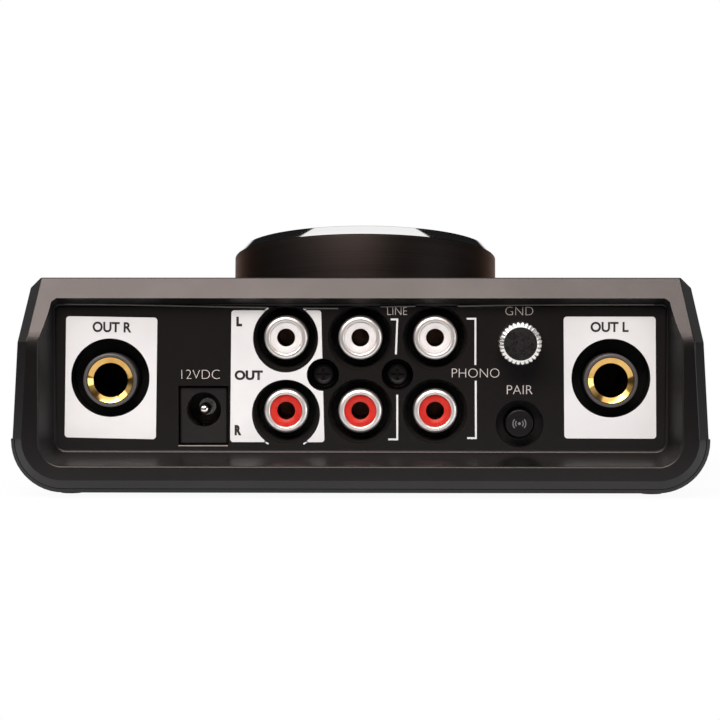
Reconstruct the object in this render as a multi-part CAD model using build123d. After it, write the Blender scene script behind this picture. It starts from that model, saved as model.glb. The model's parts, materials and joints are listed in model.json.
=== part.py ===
"""Desktop phono preamp with a large volume knob, a sloping top and all its sockets on the rear.

Frame: origin on the table, under the middle of the case. X points to the right of a person at
the front, +Y to the rear (the socket side) and +Z up. All sizes are millimetres.
"""

import os
from math import cos, radians, sin, tan

from build123d import *

# ---- driving dimensions: case -------------------------------------------------------------
CASE_WIDTH = 130.0
CASE_DEPTH = 130.0
FOOT_HEIGHT = 0.95  # the case floor stands this far above the table
FOOT_RADIUS = 2.4
FOOT_PLACES = [(x, y) for x in (-55.0, 55.0) for y in (-52.2, 52.2)]
TRAY_RIM_Z = 11.0  # joint line between the bottom tray and the upper shell
TRAY_WALL = 2.2
TRAY_CORNER_RADIUS = 9.7  # rounding of the tray's long lower edges
TRAY_LIP = 0.75  # thickness of the tray's lip round the foot of the rear frame
TRAY_LIP_Y = 63.3
TRAY_BEVEL_Y = 62.6  # the tray's rear bevel starts here
SHELL_STEP = 0.35  # the upper shell stands in from the tray by this much
SHELL_WALL = 2.2
SHELL_SIDE_DRAFT = 3.3  # degrees
TOP_SLOPE = 11.1  # degrees, falling towards the front
REAR_TOP_Z = 41.0
REAR_KINK_Z = 29.3  # above this the rear face leans forward
REAR_LEAN = 22.0  # degrees from the vertical
REAR_BEND_RADIUS = 9.0
FRONT_KINK_Z = 12.0
FRONT_LEAN = 45.0
SIDE_BEVEL = 1.9  # bevel between the sides and the rear or front
RIM_HALF = 62.75  # half-width, lowest height and rounding of the rear frame's flat rim
RIM_LOW_Z = 3.42
RIM_CORNER_RADIUS = 7.5
RIM_INNER_RADIUS = 0.45  # softened edge of the rim round the recess
TOP_BEVEL = 1.7
EDGE_RADIUS = 0.3
CASE_SCREW_PLACES = [(-58.2, 30.0), (58.2, 30.0), (-56.5, -38.0), (56.5, -38.0)]
CASE_SCREW_SEAT_Z = 4.2
CASE_BOSS_Z = 6.6

# ---- driving dimensions: rear panel and its sockets ---------------------------------------
PANEL_Y = 59.0  # outer face of the rear panel, 6 mm inside the rear rim
PANEL_BACK_Y = 56.8
PANEL_GAP = 0.12
PANEL_FLANGE = 1.2
PANEL_HALF = 57.4
PANEL_LOW_Z = 8.25
PANEL_HIGH_Z = 35.94
PANEL_EDGE_RADIUS = 0.5

BOARD_TOP_Z = 9.7
BOARD_THICKNESS = 1.6
BOARD_REAR_Y = 50.0
BOARD_FRONT_Y = -16.0
BOARD_HALF = 55.0
BOARD_SCREW_PLACES = [(-50.0, -10.0), (50.0, -10.0), (-36.0, 46.8), (22.6, 38.0)]

PHONO_COLUMNS = (13.9, 0.0, -14.0)  # out, line and phono
PHONO_ROWS = (29.7, 16.0)  # left channel above right
PHONO_MOUTH_RADIUS = 6.05
PHONO_WELL_RADIUS = 5.4
PHONO_WELL_WALL = 1.0
PHONO_BLOCK_Y = 50.8
PHONO_BLOCK_FRONT_Y = 41.0
PHONO_TIP_Y = 58.8
PHONO_SHELL_RADIUS = 4.15
PHONO_STEM_RADIUS = 3.9
PHONO_SHELL_BORE = 3.35
PHONO_LIP_BORE = 3.0
PHONO_SOCKET_RADIUS = 1.69

JACK_PLACES = {"left": -46.8, "right": 46.8}
JACK_Z = 21.75
JACK_WELL_Z = 22.2
JACK_WELL_RADIUS = 7.36
JACK_WELL_FLOOR_Y = 51.0
JACK_NOSE_RADIUS = 5.05
JACK_FERRULE_RADIUS = 4.4
JACK_BORE_RADIUS = 3.2
JACK_CAVITY_RADIUS = 4.0
JACK_TIP_Y = 59.6

DC_X = 29.35
DC_Z = 16.2
DC_WIDTH = 9.0
DC_TOP_Z = 20.5
DC_FACE_Y = 58.3
DC_REAR_Y = 44.1
DC_BORE_RADIUS = 3.25
DC_PIN_RADIUS = 1.05

GROUND_X = -29.7
GROUND_Z = 28.8
GROUND_HEAD_RADIUS = 4.0
GROUND_HEAD_LENGTH = 5.2
GROUND_HEAD_BEVEL = 0.9
GROUND_SHANK_RADIUS = 1.95
GROUND_WASHER_THICKNESS = 0.5

PAIR_X = -29.8
PAIR_Z = 13.6
PAIR_WELL_RADIUS = 4.47
PAIR_WELL_FLOOR_Y = 55.0
PAIR_CAP_RADIUS = 2.7
PAIR_TIP_Y = 58.0

PANEL_SCREW_PLACES = [(6.95, 22.8), (-6.95, 22.8)]
PANEL_SCREW_WELL_RADIUS = 2.98
PANEL_SCREW_SEAT_Y = 54.5

# ---- driving dimensions: top --------------------------------------------------------------
KNOB_RADIUS = 27.2
KNOB_HEIGHT = 17.1  # from the top surface to the knob's face
KNOB_BEVEL_WIDTH = 1.9
KNOB_BEVEL_HEIGHT = 2.2
KNOB_WALL = 2.0
KNOB_PLATE = 3.0
KNOB_CLEARANCE = 0.7
SHAFT_RADIUS = 3.0
BUTTON_RADIUS = 3.5
BUTTON_GAP = 0.3
BUTTON_PROUD = 0.9
BUTTON_V = -42.0  # along the slope, from the knob's axis
LIGHT_V = -34.5
LIGHT_RADIUS = 1.0
BUTTON_PLACES = {"phono": -16.0, "line": 0.0, "wireless": 16.0, "power": 40.0}
CONTROL_BOARD_W = -9.3  # top of the control board, below the top surface
CONTROL_BOARD_HALF = 46.0
CONTROL_BOARD_SCREW_PLACES = [(-43.0, 8.0), (43.0, 8.0), (-43.0, -46.0), (30.0, -46.0)]

REAR_Y = CASE_DEPTH / 2
FRONT_Y = -CASE_DEPTH / 2
REAR_TOP_Y = REAR_Y - (REAR_TOP_Z - REAR_KINK_Z) * tan(radians(REAR_LEAN))
KNOB_AXIS_Z = REAR_TOP_Z - REAR_TOP_Y * tan(radians(TOP_SLOPE))
TOP_NORMAL = Vector(0, -sin(radians(TOP_SLOPE)), cos(radians(TOP_SLOPE)))
# pieces of the top are drawn square to it: x to the right, v up the slope, w out of the case
TOP = Plane(origin=(0, 0, KNOB_AXIS_Z), x_dir=(1, 0, 0), z_dir=TOP_NORMAL).location


# ---- helpers ------------------------------------------------------------------------------
def block(x0, x1, y0, y1, z0, z1):
    """Box between two corners."""
    return Pos((x0 + x1) / 2, (y0 + y1) / 2, (z0 + z1) / 2) * Box(x1 - x0, y1 - y0, z1 - z0)


def post(radius, z0, z1, x=0.0, y=0.0):
    """Cylinder along Z."""
    return Pos(x, y, (z0 + z1) / 2) * Cylinder(radius, z1 - z0)


def rod(radius, y0, y1, x=0.0, z=0.0):
    """Cylinder along Y."""
    return Pos(x, (y0 + y1) / 2, z) * Rot(90, 0, 0) * Cylinder(radius, y1 - y0)


def turned_y(profile, x=0.0, z=0.0):
    """Solid turned about an axis along Y, from (radius, y) points."""
    return Pos(x, 0, z) * revolve(make_face(Polyline(*profile, close=True)), Axis.Y)


def turned_z(profile, x=0.0, y=0.0):
    """Solid turned about an axis along Z, from (radius, z) points."""
    outline = Polyline(*[(radius, 0, z) for radius, z in profile], close=True)
    return Pos(x, y, 0) * revolve(make_face(outline), Axis.Z)


def rear_plane(y):
    """Drawing plane square to Y, with its y upwards."""
    return Plane(origin=(0, y, 0), x_dir=(1, 0, 0), z_dir=(0, -1, 0))


def symmetric(points, radii):
    """Face of an outline given for one side, with some corners rounded ({index: radius})."""
    other_side = [(-x, z) for x, z in reversed(points)]
    face = make_face(Polyline(*points, *other_side, close=True))
    for index, radius in radii.items():
        x, z = points[index]
        near = [v for v in face.vertices() if abs(abs(v.X) - x) + abs(v.Y - z) < 1e-4]
        face = fillet(near, radius)
    return face


def prism(face, y0, y1):
    """Prism of an outline between two depths."""
    return extrude(rear_plane(y1) * face, y1 - y0, dir=(0, -1, 0))


def tapered(face0, y0, face1, y1):
    """Straight-sided transition between two outlines."""
    return loft([rear_plane(y0) * face0, rear_plane(y1) * face1], ruled=True)


def joined(solids):
    """One shape fused from several."""
    result = solids[0]
    for solid in solids[1:]:
        result = result + solid
    return result


def each(make, places):
    """Separate copies of one piece at several places."""
    return Compound(children=[make(*place) for place in places])


def write(name, shape):
    """Writes one sub-part."""
    export_step(shape, f"parts/{name}.step")


# ---- case ---------------------------------------------------------------------------------
def side_x(z):
    """Outer half-width of the upper shell's side at height z, up to its kink."""
    return CASE_WIDTH / 2 - SHELL_STEP - (z - TRAY_RIM_Z) * tan(radians(SHELL_SIDE_DRAFT))


SIDE_NORMAL = Vector(cos(radians(SHELL_SIDE_DRAFT)), 0, sin(radians(SHELL_SIDE_DRAFT)))
REAR_UPPER_NORMAL = Vector(0, cos(radians(REAR_LEAN)), sin(radians(REAR_LEAN)))
FRONT_UPPER_NORMAL = Vector(0, -cos(radians(FRONT_LEAN)), sin(radians(FRONT_LEAN)))
REAR_KINK = Vector(side_x(REAR_KINK_Z), REAR_Y, REAR_KINK_Z)
FRONT_KINK = Vector(side_x(FRONT_KINK_Z), FRONT_Y, FRONT_KINK_Z)
UPPER_SIDE_POINT = Vector(61.7, 61.2, 39.0)
UPPER_SIDE_NORMAL = (REAR_KINK - FRONT_KINK).cross(UPPER_SIDE_POINT - REAR_KINK).normalized()
TOP_POINT = Vector(0, REAR_TOP_Y, REAR_TOP_Z)


def mirrored(vector):
    """The same point or direction on the other side of the case."""
    return Vector(-vector.X, vector.Y, vector.Z)


def trimmed(solid, point, normal):
    """What is left of a solid on the inner side of a plane."""
    return split(solid, bisect_by=Plane(origin=point, z_dir=normal), keep=Keep.BOTTOM)


def beveled(solid, point, normal0, normal1, leg):
    """Takes a bevel off the convex edge that runs through point between two faces."""
    inward = (normal1 - normal0 * normal0.dot(normal1)).normalized()
    return trimmed(solid, point - inward * leg, normal0 + normal1)


def shell_form(inset, rear_y, low_z):
    """The upper shell's outer form without bevels, or the same form taken in by inset."""
    form = block(-70, 70, FRONT_Y + inset, rear_y, low_z, 60)
    for point, normal in (
        (Vector(side_x(TRAY_RIM_Z), 0, TRAY_RIM_Z), SIDE_NORMAL),
        (REAR_KINK, UPPER_SIDE_NORMAL),
    ):
        inner = point - normal * inset
        form = trimmed(form, inner, normal)
        form = trimmed(form, mirrored(inner), mirrored(normal))
    for point, normal in (
        (REAR_KINK, REAR_UPPER_NORMAL),
        (FRONT_KINK, FRONT_UPPER_NORMAL),
        (TOP_POINT, TOP_NORMAL),
    ):
        form = trimmed(form, point - normal * inset, normal)
    return form


def shell_outside():
    """The upper shell's outside with its bends, bevels and softened edges."""
    form = shell_form(0, REAR_Y, TRAY_RIM_Z + 0.1)
    bend = [
        edge
        for edge in form.edges()
        if abs(edge.center().Y - REAR_Y) + abs(edge.center().Z - REAR_KINK_Z) < 1e-3
    ]
    form = fillet(bend, REAR_BEND_RADIUS)
    across = (TOP_POINT - REAR_KINK).dot(UPPER_SIDE_NORMAL) / UPPER_SIDE_NORMAL.X
    top_corner = TOP_POINT - Vector(across, 0, 0)
    for turn in (Vector, mirrored):
        side, upper = turn(SIDE_NORMAL), turn(UPPER_SIDE_NORMAL)
        rear, front = turn(REAR_KINK), turn(FRONT_KINK)
        form = beveled(form, turn(top_corner), upper, TOP_NORMAL, TOP_BEVEL)
        form = beveled(form, rear, side, Vector(0, 1, 0), SIDE_BEVEL)
        form = beveled(form, rear, upper, REAR_UPPER_NORMAL, SIDE_BEVEL)
        form = beveled(form, front, side, Vector(0, -1, 0), SIDE_BEVEL)
        form = beveled(form, front, upper, FRONT_UPPER_NORMAL, SIDE_BEVEL)
    upper_edges = [edge for edge in form.edges() if edge.center().Z > TRAY_RIM_Z + 0.2]
    return fillet(upper_edges, EDGE_RADIUS)


def tray_outline(inset, top_z=TRAY_RIM_Z):
    """Cross-section of the bottom tray, taken in by inset."""
    half = CASE_WIDTH / 2 - inset
    low = FOOT_HEIGHT + inset
    return symmetric([(half, top_z), (half, low)], {1: TRAY_CORNER_RADIUS - inset})


def lower_rear(start_y, top_z):
    """Outside of the lowest part of the rear, with the bevel that tray and rear frame share."""
    outer = tray_outline(0, top_z)
    rim = symmetric([(RIM_HALF, top_z), (RIM_HALF, RIM_LOW_Z)], {1: RIM_CORNER_RADIUS})
    return prism(outer, start_y, TRAY_BEVEL_Y) + tapered(outer, TRAY_BEVEL_Y, rim, REAR_Y)


def frame_foot():
    """The part of the rear frame that reaches down inside the tray's lip."""
    rim_z = TRAY_RIM_Z + 0.1
    inner = prism(tray_outline(TRAY_LIP + 0.1, rim_z), PANEL_BACK_Y, REAR_Y)
    return lower_rear(PANEL_BACK_Y, rim_z) & inner


def panel_outline(grow=0.0):
    """Outline of the rear panel's visible face, grown by an amount."""
    g = grow
    points = [
        (PANEL_HALF + g, PANEL_LOW_Z - g),
        (PANEL_HALF + g, 29.4),
        (PANEL_HALF + g, 35.2 + 0.4 * g),
        (56.6 + 0.4 * g, PANEL_HIGH_Z + g),
    ]
    return symmetric(points, {0: 2.3})


def recess():
    """The tapered space between the rear rim and the panel."""
    wide = [(60.33, 5.32), (60.33, 29.9), (57.45, 38.6), (56.4, 39.4)]
    return tapered(panel_outline(), PANEL_Y, symmetric(wide, {0: 5.1}), PANEL_Y + 8)


def mouth_edges(shell):
    """The edges of the flat rim round the recess, at the bottom and up both sides to the bend."""
    found = []
    for edge in shell.edges():
        low, high = edge.bounding_box().min, edge.bounding_box().max
        in_rim = low.Y > REAR_Y - 1e-3 and low.Z > RIM_LOW_Z + 1 and high.Z < REAR_KINK_Z - 1
        if in_rim and high.X < RIM_HALF - 1 and low.X > 1 - RIM_HALF:
            found.append(edge)
    return found


def top_holes():
    """Openings of the top for the knob's bushing, the buttons and the lights."""
    holes = [post(3.65, -5, 3)]
    for x in BUTTON_PLACES.values():
        holes.append(post(BUTTON_RADIUS + BUTTON_GAP, -5, 3, x, BUTTON_V))
        holes.append(post(LIGHT_RADIUS, -5, 3, x, LIGHT_V))
    return TOP * joined(holes)


def top_bosses():
    """Posts under the top that carry the control board and take the case screws."""
    low_w = CONTROL_BOARD_W
    bosses = [TOP * post(2.4, low_w, -1, x, v) for x, v in CONTROL_BOARD_SCREW_PLACES]
    bosses += [post(2.9, CASE_BOSS_Z, 40, x, y) for x, y in CASE_SCREW_PLACES]
    return joined(bosses) & shell_form(1.0, REAR_Y, 5)


def top_shell():
    """Upper shell with the closed rear frame."""
    shell = shell_outside() + frame_foot()
    shell = shell - shell_form(SHELL_WALL, PANEL_BACK_Y, 5)
    shell = shell - recess() - prism(panel_outline(), PANEL_BACK_Y - 1, PANEL_Y)
    shell = fillet(mouth_edges(shell), RIM_INNER_RADIUS)
    shell = shell + top_bosses() - top_holes()
    for x, v in CONTROL_BOARD_SCREW_PLACES:
        shell = shell - TOP * post(1.0, CONTROL_BOARD_W - 1, -3.4, x, v)
    for x, y in CASE_SCREW_PLACES:
        shell = shell - post(1.25, CASE_BOSS_Z - 1, 13.0, x, y)
    return shell


def bottom_shell():
    """Tray that closes the case from below and carries the main board."""
    end_y = PANEL_BACK_Y - 0.1
    tray = prism(tray_outline(0), FRONT_Y, end_y)
    front_edges = [edge for edge in tray.edges() if abs(edge.center().Y - FRONT_Y) < 1e-3]
    tray = fillet([edge for edge in front_edges if edge.center().Z < 10.9], 1.5)
    tray = tray - prism(tray_outline(TRAY_WALL), FRONT_Y + TRAY_WALL, end_y)
    lip = lower_rear(end_y - 0.5, TRAY_RIM_Z) - prism(tray_outline(TRAY_LIP), end_y - 1, REAR_Y)
    tray = tray + (lip & block(-70, 70, end_y - 1, TRAY_LIP_Y, 0, TRAY_RIM_Z))
    floor_z = FOOT_HEIGHT + TRAY_WALL
    under_board_z = BOARD_TOP_Z - BOARD_THICKNESS
    for x, y in BOARD_SCREW_PLACES:
        tray = tray + post(2.6, floor_z - 0.5, under_board_z, x, y)
        tray = tray - post(1.0, floor_z + 0.6, under_board_z, x, y)
    for x, y in CASE_SCREW_PLACES:
        tray = tray + post(3.6, floor_z - 1.5, CASE_BOSS_Z, x, y)
        tray = tray - post(1.6, 0, CASE_BOSS_Z, x, y)
        tray = tray - post(2.7, 0, CASE_SCREW_SEAT_Z, x, y)
    return tray


def screw_z(head_radius, head, radius, length, seat_z, x, y, up):
    """Cross-recessed screw along Z; up is +1 when its head is at the top."""
    low, high = sorted((seat_z, seat_z + up * head))
    shaft_low, shaft_high = sorted((seat_z, seat_z - up * length))
    solid = post(head_radius, low, high, x, y) + post(radius, shaft_low, shaft_high, x, y)
    tip = seat_z + up * head
    z0, z1 = sorted((tip, tip - up * 0.9))
    arm, half = head_radius * 0.6, 0.3
    cross = block(x - arm, x + arm, y - half, y + half, z0, z1)
    return solid - cross - block(x - half, x + half, y - arm, y + arm, z0, z1)


def case_screws():
    """The four screws that hold tray and upper shell together."""
    return each(
        lambda x, y: screw_z(2.5, 1.6, 1.25, 8.0, CASE_SCREW_SEAT_Z, x, y, -1),
        CASE_SCREW_PLACES,
    )


def board_screws():
    """The screws of the main board, from above, and of the control board, from below."""
    under = CONTROL_BOARD_W - BOARD_THICKNESS
    main = [
        screw_z(2.1, 1.4, 1.0, 5.4, BOARD_TOP_Z, x, y, 1) for x, y in BOARD_SCREW_PLACES
    ]
    control = [
        TOP * screw_z(2.1, 1.4, 1.0, 5.4, under, x, v, -1)
        for x, v in CONTROL_BOARD_SCREW_PLACES
    ]
    return Compound(children=main + control)


def rubber_feet():
    """Four soft feet stuck under the tray."""
    rounded = 0.4
    profile = [
        (0, 0),
        (FOOT_RADIUS - rounded, 0),
        (FOOT_RADIUS, rounded),
        (FOOT_RADIUS, FOOT_HEIGHT),
        (0, FOOT_HEIGHT),
    ]
    return each(lambda x, y: turned_z(profile, x, y), FOOT_PLACES)


# ---- rear panel ---------------------------------------------------------------------------
def phono_places():
    """Centres of the six phono sockets."""
    return [(x, z) for x in PHONO_COLUMNS for z in PHONO_ROWS]


def rear_panel():
    """Moulded panel with a sunk well round every socket, screw and button."""
    plate = prism(panel_outline(-PANEL_GAP), PANEL_BACK_Y - 0.2, PANEL_Y)
    face_edges = [edge for edge in plate.edges() if abs(edge.center().Y - PANEL_Y) < 1e-3]
    plate = fillet(face_edges, PANEL_EDGE_RADIUS)
    panel = plate + prism(panel_outline(PANEL_FLANGE), PANEL_BACK_Y - 1.4, PANEL_BACK_Y - 0.1)
    back = PANEL_BACK_Y - 0.5
    for x, z in phono_places():
        panel = panel + rod(PHONO_WELL_RADIUS + PHONO_WELL_WALL, PHONO_BLOCK_Y, back, x, z)
    for x, z in PANEL_SCREW_PLACES:
        panel = panel + rod(PANEL_SCREW_WELL_RADIUS + 0.8, PHONO_BLOCK_Y, back, x, z)
    for x in JACK_PLACES.values():
        floor = JACK_WELL_FLOOR_Y - 1.0
        panel = panel + rod(JACK_WELL_RADIUS + 1.0, floor, back, x, JACK_WELL_Z)
    panel = panel + rod(PAIR_WELL_RADIUS + 1.0, PAIR_WELL_FLOOR_Y - 1.2, back, PAIR_X, PAIR_Z)
    for x, z in phono_places():
        well = [
            (0, PHONO_BLOCK_Y - 1),
            (PHONO_WELL_RADIUS, PHONO_BLOCK_Y - 1),
            (PHONO_WELL_RADIUS, PANEL_Y - 3.5),
            (PHONO_MOUTH_RADIUS, PANEL_Y),
            (0, PANEL_Y),
        ]
        panel = panel - turned_y(well, x, z)
    for x, z in PANEL_SCREW_PLACES:
        panel = panel - rod(PANEL_SCREW_WELL_RADIUS, PANEL_SCREW_SEAT_Y, PANEL_Y, x, z)
        panel = panel - rod(1.5, PHONO_BLOCK_Y - 1, PANEL_SCREW_SEAT_Y, x, z)
    for x in JACK_PLACES.values():
        panel = panel - rod(JACK_WELL_RADIUS, JACK_WELL_FLOOR_Y, PANEL_Y, x, JACK_WELL_Z)
        panel = panel - rod(JACK_NOSE_RADIUS + 0.1, 49, JACK_WELL_FLOOR_Y, x, JACK_Z)
    panel = panel - rod(PAIR_WELL_RADIUS, PAIR_WELL_FLOOR_Y, PANEL_Y, PAIR_X, PAIR_Z)
    panel = panel - rod(PAIR_CAP_RADIUS + 0.3, 53, PAIR_WELL_FLOOR_Y, PAIR_X, PAIR_Z)
    panel = panel - rod(GROUND_SHANK_RADIUS + 0.4, 54, PANEL_Y, GROUND_X, GROUND_Z)
    half = DC_WIDTH / 2 + 0.2
    slot = block(DC_X - half, DC_X + half, 54, PANEL_Y, BOARD_TOP_Z - 0.2, DC_TOP_Z + 0.2)
    return panel - slot


def panel_screw(x, z):
    """Cross-recessed screw along Y that pulls the panel to the phono socket block."""
    seat = PANEL_SCREW_SEAT_Y
    screw = rod(2.6, seat, seat + 1.9, x, z) + rod(1.25, seat - 10, seat, x, z)
    arm, half = 1.6, 0.32
    screw = screw - block(x - arm, x + arm, seat + 0.8, seat + 1.9, z - half, z + half)
    return screw - block(x - half, x + half, seat + 0.8, seat + 1.9, z - arm, z + arm)


def phono_block():
    """Moulded block that carries the six phono sockets."""
    body = block(-19.4, 19.3, PHONO_BLOCK_FRONT_Y, PHONO_BLOCK_Y, BOARD_TOP_Z, 34.2)
    for x, z in phono_places():
        body = body - rod(PHONO_STEM_RADIUS, 46.0, PHONO_BLOCK_Y, x, z)
    for x, z in PANEL_SCREW_PLACES:
        body = body - rod(1.25, 43.0, PHONO_BLOCK_Y, x, z)
    return body


def phono_shell(x, z):
    """Plated outer contact of one phono socket, shouldered on the block."""
    front = 46.0
    profile = [
        (PHONO_SHELL_BORE, front),
        (PHONO_STEM_RADIUS, front),
        (PHONO_STEM_RADIUS, PHONO_BLOCK_Y),
        (PHONO_SHELL_RADIUS, PHONO_BLOCK_Y),
        (PHONO_SHELL_RADIUS, PHONO_TIP_Y - 0.3),
        (PHONO_SHELL_RADIUS - 0.3, PHONO_TIP_Y),
        (PHONO_LIP_BORE, PHONO_TIP_Y),
        (PHONO_LIP_BORE, PHONO_TIP_Y - 0.7),
        (PHONO_SHELL_BORE, PHONO_TIP_Y - 0.7),
    ]
    return turned_y(profile, x, z)


def phono_insulator(x, z):
    """Coloured insulator inside one phono socket."""
    front, face = 46.0, PHONO_TIP_Y - 0.35
    profile = [
        (PHONO_SOCKET_RADIUS + 0.35, front),
        (PHONO_SHELL_BORE, front),
        (PHONO_SHELL_BORE, PHONO_TIP_Y - 0.7),
        (PHONO_LIP_BORE, PHONO_TIP_Y - 0.7),
        (PHONO_LIP_BORE, face),
        (PHONO_SOCKET_RADIUS + 0.25, face),
        (PHONO_SOCKET_RADIUS, face - 0.25),
        (PHONO_SOCKET_RADIUS, face - 1.5),
        (PHONO_SOCKET_RADIUS + 0.35, face - 1.5),
    ]
    return turned_y(profile, x, z)


def phono_contact(x, z):
    """Sprung inner contact sleeve of one phono socket."""
    y0, y1 = 46.0, PHONO_TIP_Y - 1.85
    sleeve = rod(PHONO_SOCKET_RADIUS + 0.35, y0, y1, x, z)
    sleeve = sleeve - rod(PHONO_SOCKET_RADIUS, y0 + 0.5, y1, x, z)
    return sleeve - block(x - 0.2, x + 0.2, y1 - 5, y1, z - 3, z + 3)


def jack_body(x):
    """Housing and nose of one quarter-inch jack socket."""
    body = block(x - 8, x + 8, 21, JACK_WELL_FLOOR_Y - 1.0, BOARD_TOP_Z, 30.0)
    nose = rod(JACK_NOSE_RADIUS, JACK_WELL_FLOOR_Y - 1.5, JACK_TIP_Y, x, JACK_Z)
    rim = [edge for edge in nose.edges() if edge.center().Y > JACK_TIP_Y - 0.01]
    body = body + fillet(rim, 0.35)
    body = body - rod(JACK_FERRULE_RADIUS, 46.0, JACK_TIP_Y, x, JACK_Z)
    body = body - rod(JACK_CAVITY_RADIUS, 23.0, 46.0, x, JACK_Z)
    return body - block(x - 2, x + 2, 23.0, 44.0, JACK_Z, JACK_Z + 6.5)


def jack_ferrule(x):
    """Plated sleeve with a flared mouth that guides the plug."""
    tip = JACK_TIP_Y - 0.25
    profile = [
        (JACK_BORE_RADIUS, 46.0),
        (JACK_FERRULE_RADIUS, 46.0),
        (JACK_FERRULE_RADIUS, tip),
        (JACK_FERRULE_RADIUS - 0.25, tip),
        (JACK_BORE_RADIUS + 0.15, tip - 1.3),
        (JACK_BORE_RADIUS, tip - 1.8),
    ]
    return turned_y(profile, x, JACK_Z)


def jack_springs(x):
    """Tip and ring contact springs of one jack socket."""
    z = JACK_Z + JACK_BORE_RADIUS
    tip = block(x - 1.7, x - 0.2, 23.0, 33.0, z + 0.5, z + 0.85)
    tip = tip + block(x - 1.7, x - 0.2, 23.0, 23.35, z + 0.5, z + 3.3)
    ring = block(x + 0.2, x + 1.7, 34.0, 44.0, z + 0.5, z + 0.85)
    ring = ring + block(x + 0.2, x + 1.7, 43.65, 44.0, z + 0.5, z + 3.3)
    return Compound(children=[tip, ring])


def dc_jack_body():
    """Housing of the power inlet."""
    half = DC_WIDTH / 2
    body = block(DC_X - half, DC_X + half, DC_REAR_Y, DC_FACE_Y, BOARD_TOP_Z, DC_TOP_Z)
    long_edges = [e for e in body.edges() if abs(e.center().Y - DC_FACE_Y) < 1e-3]
    body = chamfer(long_edges, 0.3)
    body = body - rod(DC_BORE_RADIUS, 48.3, DC_FACE_Y, DC_X, DC_Z)
    body = body - rod(1.6, DC_REAR_Y + 2, 48.3, DC_X, DC_Z)
    low = DC_Z - DC_BORE_RADIUS
    return body - block(DC_X - 1.2, DC_X + 1.2, 48.3, 56.0, low - 0.6, low + 1)


def dc_jack_pin():
    """Centre pin of the power inlet, with a rounded tip."""
    profile = [
        (0, DC_REAR_Y + 2),
        (1.6, DC_REAR_Y + 2),
        (1.6, 48.3),
        (DC_PIN_RADIUS, 48.3),
        (DC_PIN_RADIUS, 57.0),
        (DC_PIN_RADIUS - 0.4, 57.5),
        (0, 57.5),
    ]
    return turned_y(profile, DC_X, DC_Z)


def dc_jack_spring():
    """Leaf contact in the floor of the power inlet."""
    low = DC_Z - DC_BORE_RADIUS
    return block(DC_X - 1.0, DC_X + 1.0, 48.3, 55.5, low - 0.6, low - 0.25)


def ground_bracket():
    """Tapped metal bracket that stands on the main board behind the ground screw."""
    plate = block(-33.7, -21.1, 52.7, 54.7, 24.4, 33.2)
    leg = block(-22.6, -21.1, 44.0, 54.7, BOARD_TOP_Z, 33.2)
    return plate + leg - rod(GROUND_SHANK_RADIUS + 0.05, 52, 56, GROUND_X, GROUND_Z)


def ground_washer():
    """Captive washer under the head of the ground screw."""
    y0, y1 = PANEL_Y, PANEL_Y + GROUND_WASHER_THICKNESS
    hole = rod(GROUND_SHANK_RADIUS + 0.05, y0, y1, GROUND_X, GROUND_Z)
    return rod(3.6, y0, y1, GROUND_X, GROUND_Z) - hole


def ground_screw():
    """Ground screw with a round finger-tight head."""
    seat = PANEL_Y + GROUND_WASHER_THICKNESS
    tip = seat + GROUND_HEAD_LENGTH
    bevel = GROUND_HEAD_BEVEL
    profile = [
        (0, 49.5),
        (GROUND_SHANK_RADIUS - 0.4, 49.5),
        (GROUND_SHANK_RADIUS, 49.9),
        (GROUND_SHANK_RADIUS, seat),
        (GROUND_HEAD_RADIUS - 0.3, seat),
        (GROUND_HEAD_RADIUS, seat + 0.3),
        (GROUND_HEAD_RADIUS, tip - bevel),
        (GROUND_HEAD_RADIUS - bevel, tip),
        (0, tip),
    ]
    return turned_y(profile, GROUND_X, GROUND_Z)


def pair_button():
    """Push button that starts wireless pairing."""
    cap = rod(PAIR_CAP_RADIUS, 48.6, PAIR_TIP_Y, PAIR_X, PAIR_Z)
    rim = [edge for edge in cap.edges() if edge.center().Y > PAIR_TIP_Y - 0.01]
    return fillet(rim, 0.35) + rod(3.7, 52.2, 53.5, PAIR_X, PAIR_Z)


def pair_plunger():
    """Moving stem of the pairing switch."""
    return rod(1.7, 46.0, 48.6, PAIR_X, PAIR_Z)


def pair_switch():
    """Upright push switch on the main board."""
    body = block(PAIR_X - 3, PAIR_X + 3, 43.4, 47.0, BOARD_TOP_Z, PAIR_Z + 3)
    return body - rod(1.75, 45.3, 47.0, PAIR_X, PAIR_Z)


# ---- top ----------------------------------------------------------------------------------
def knob_shell():
    """Turned metal cup of the volume knob, with a bevel round its face."""
    r, h = KNOB_RADIUS, KNOB_HEIGHT
    profile = [
        (0, h),
        (r - KNOB_BEVEL_WIDTH, h),
        (r, h - KNOB_BEVEL_HEIGHT),
        (r, KNOB_CLEARANCE + 0.3),
        (r - 0.3, KNOB_CLEARANCE),
        (r - KNOB_WALL, KNOB_CLEARANCE),
        (r - KNOB_WALL, h - KNOB_PLATE),
        (0, h - KNOB_PLATE),
    ]
    return TOP * (turned_z(profile) - block(-0.6, 0.6, 17, 23, h - 0.4, h + 1))


def knob_pointer():
    """Light line let into the knob's face."""
    return TOP * block(-0.6, 0.6, 17, 23, KNOB_HEIGHT - 0.4, KNOB_HEIGHT)


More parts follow.
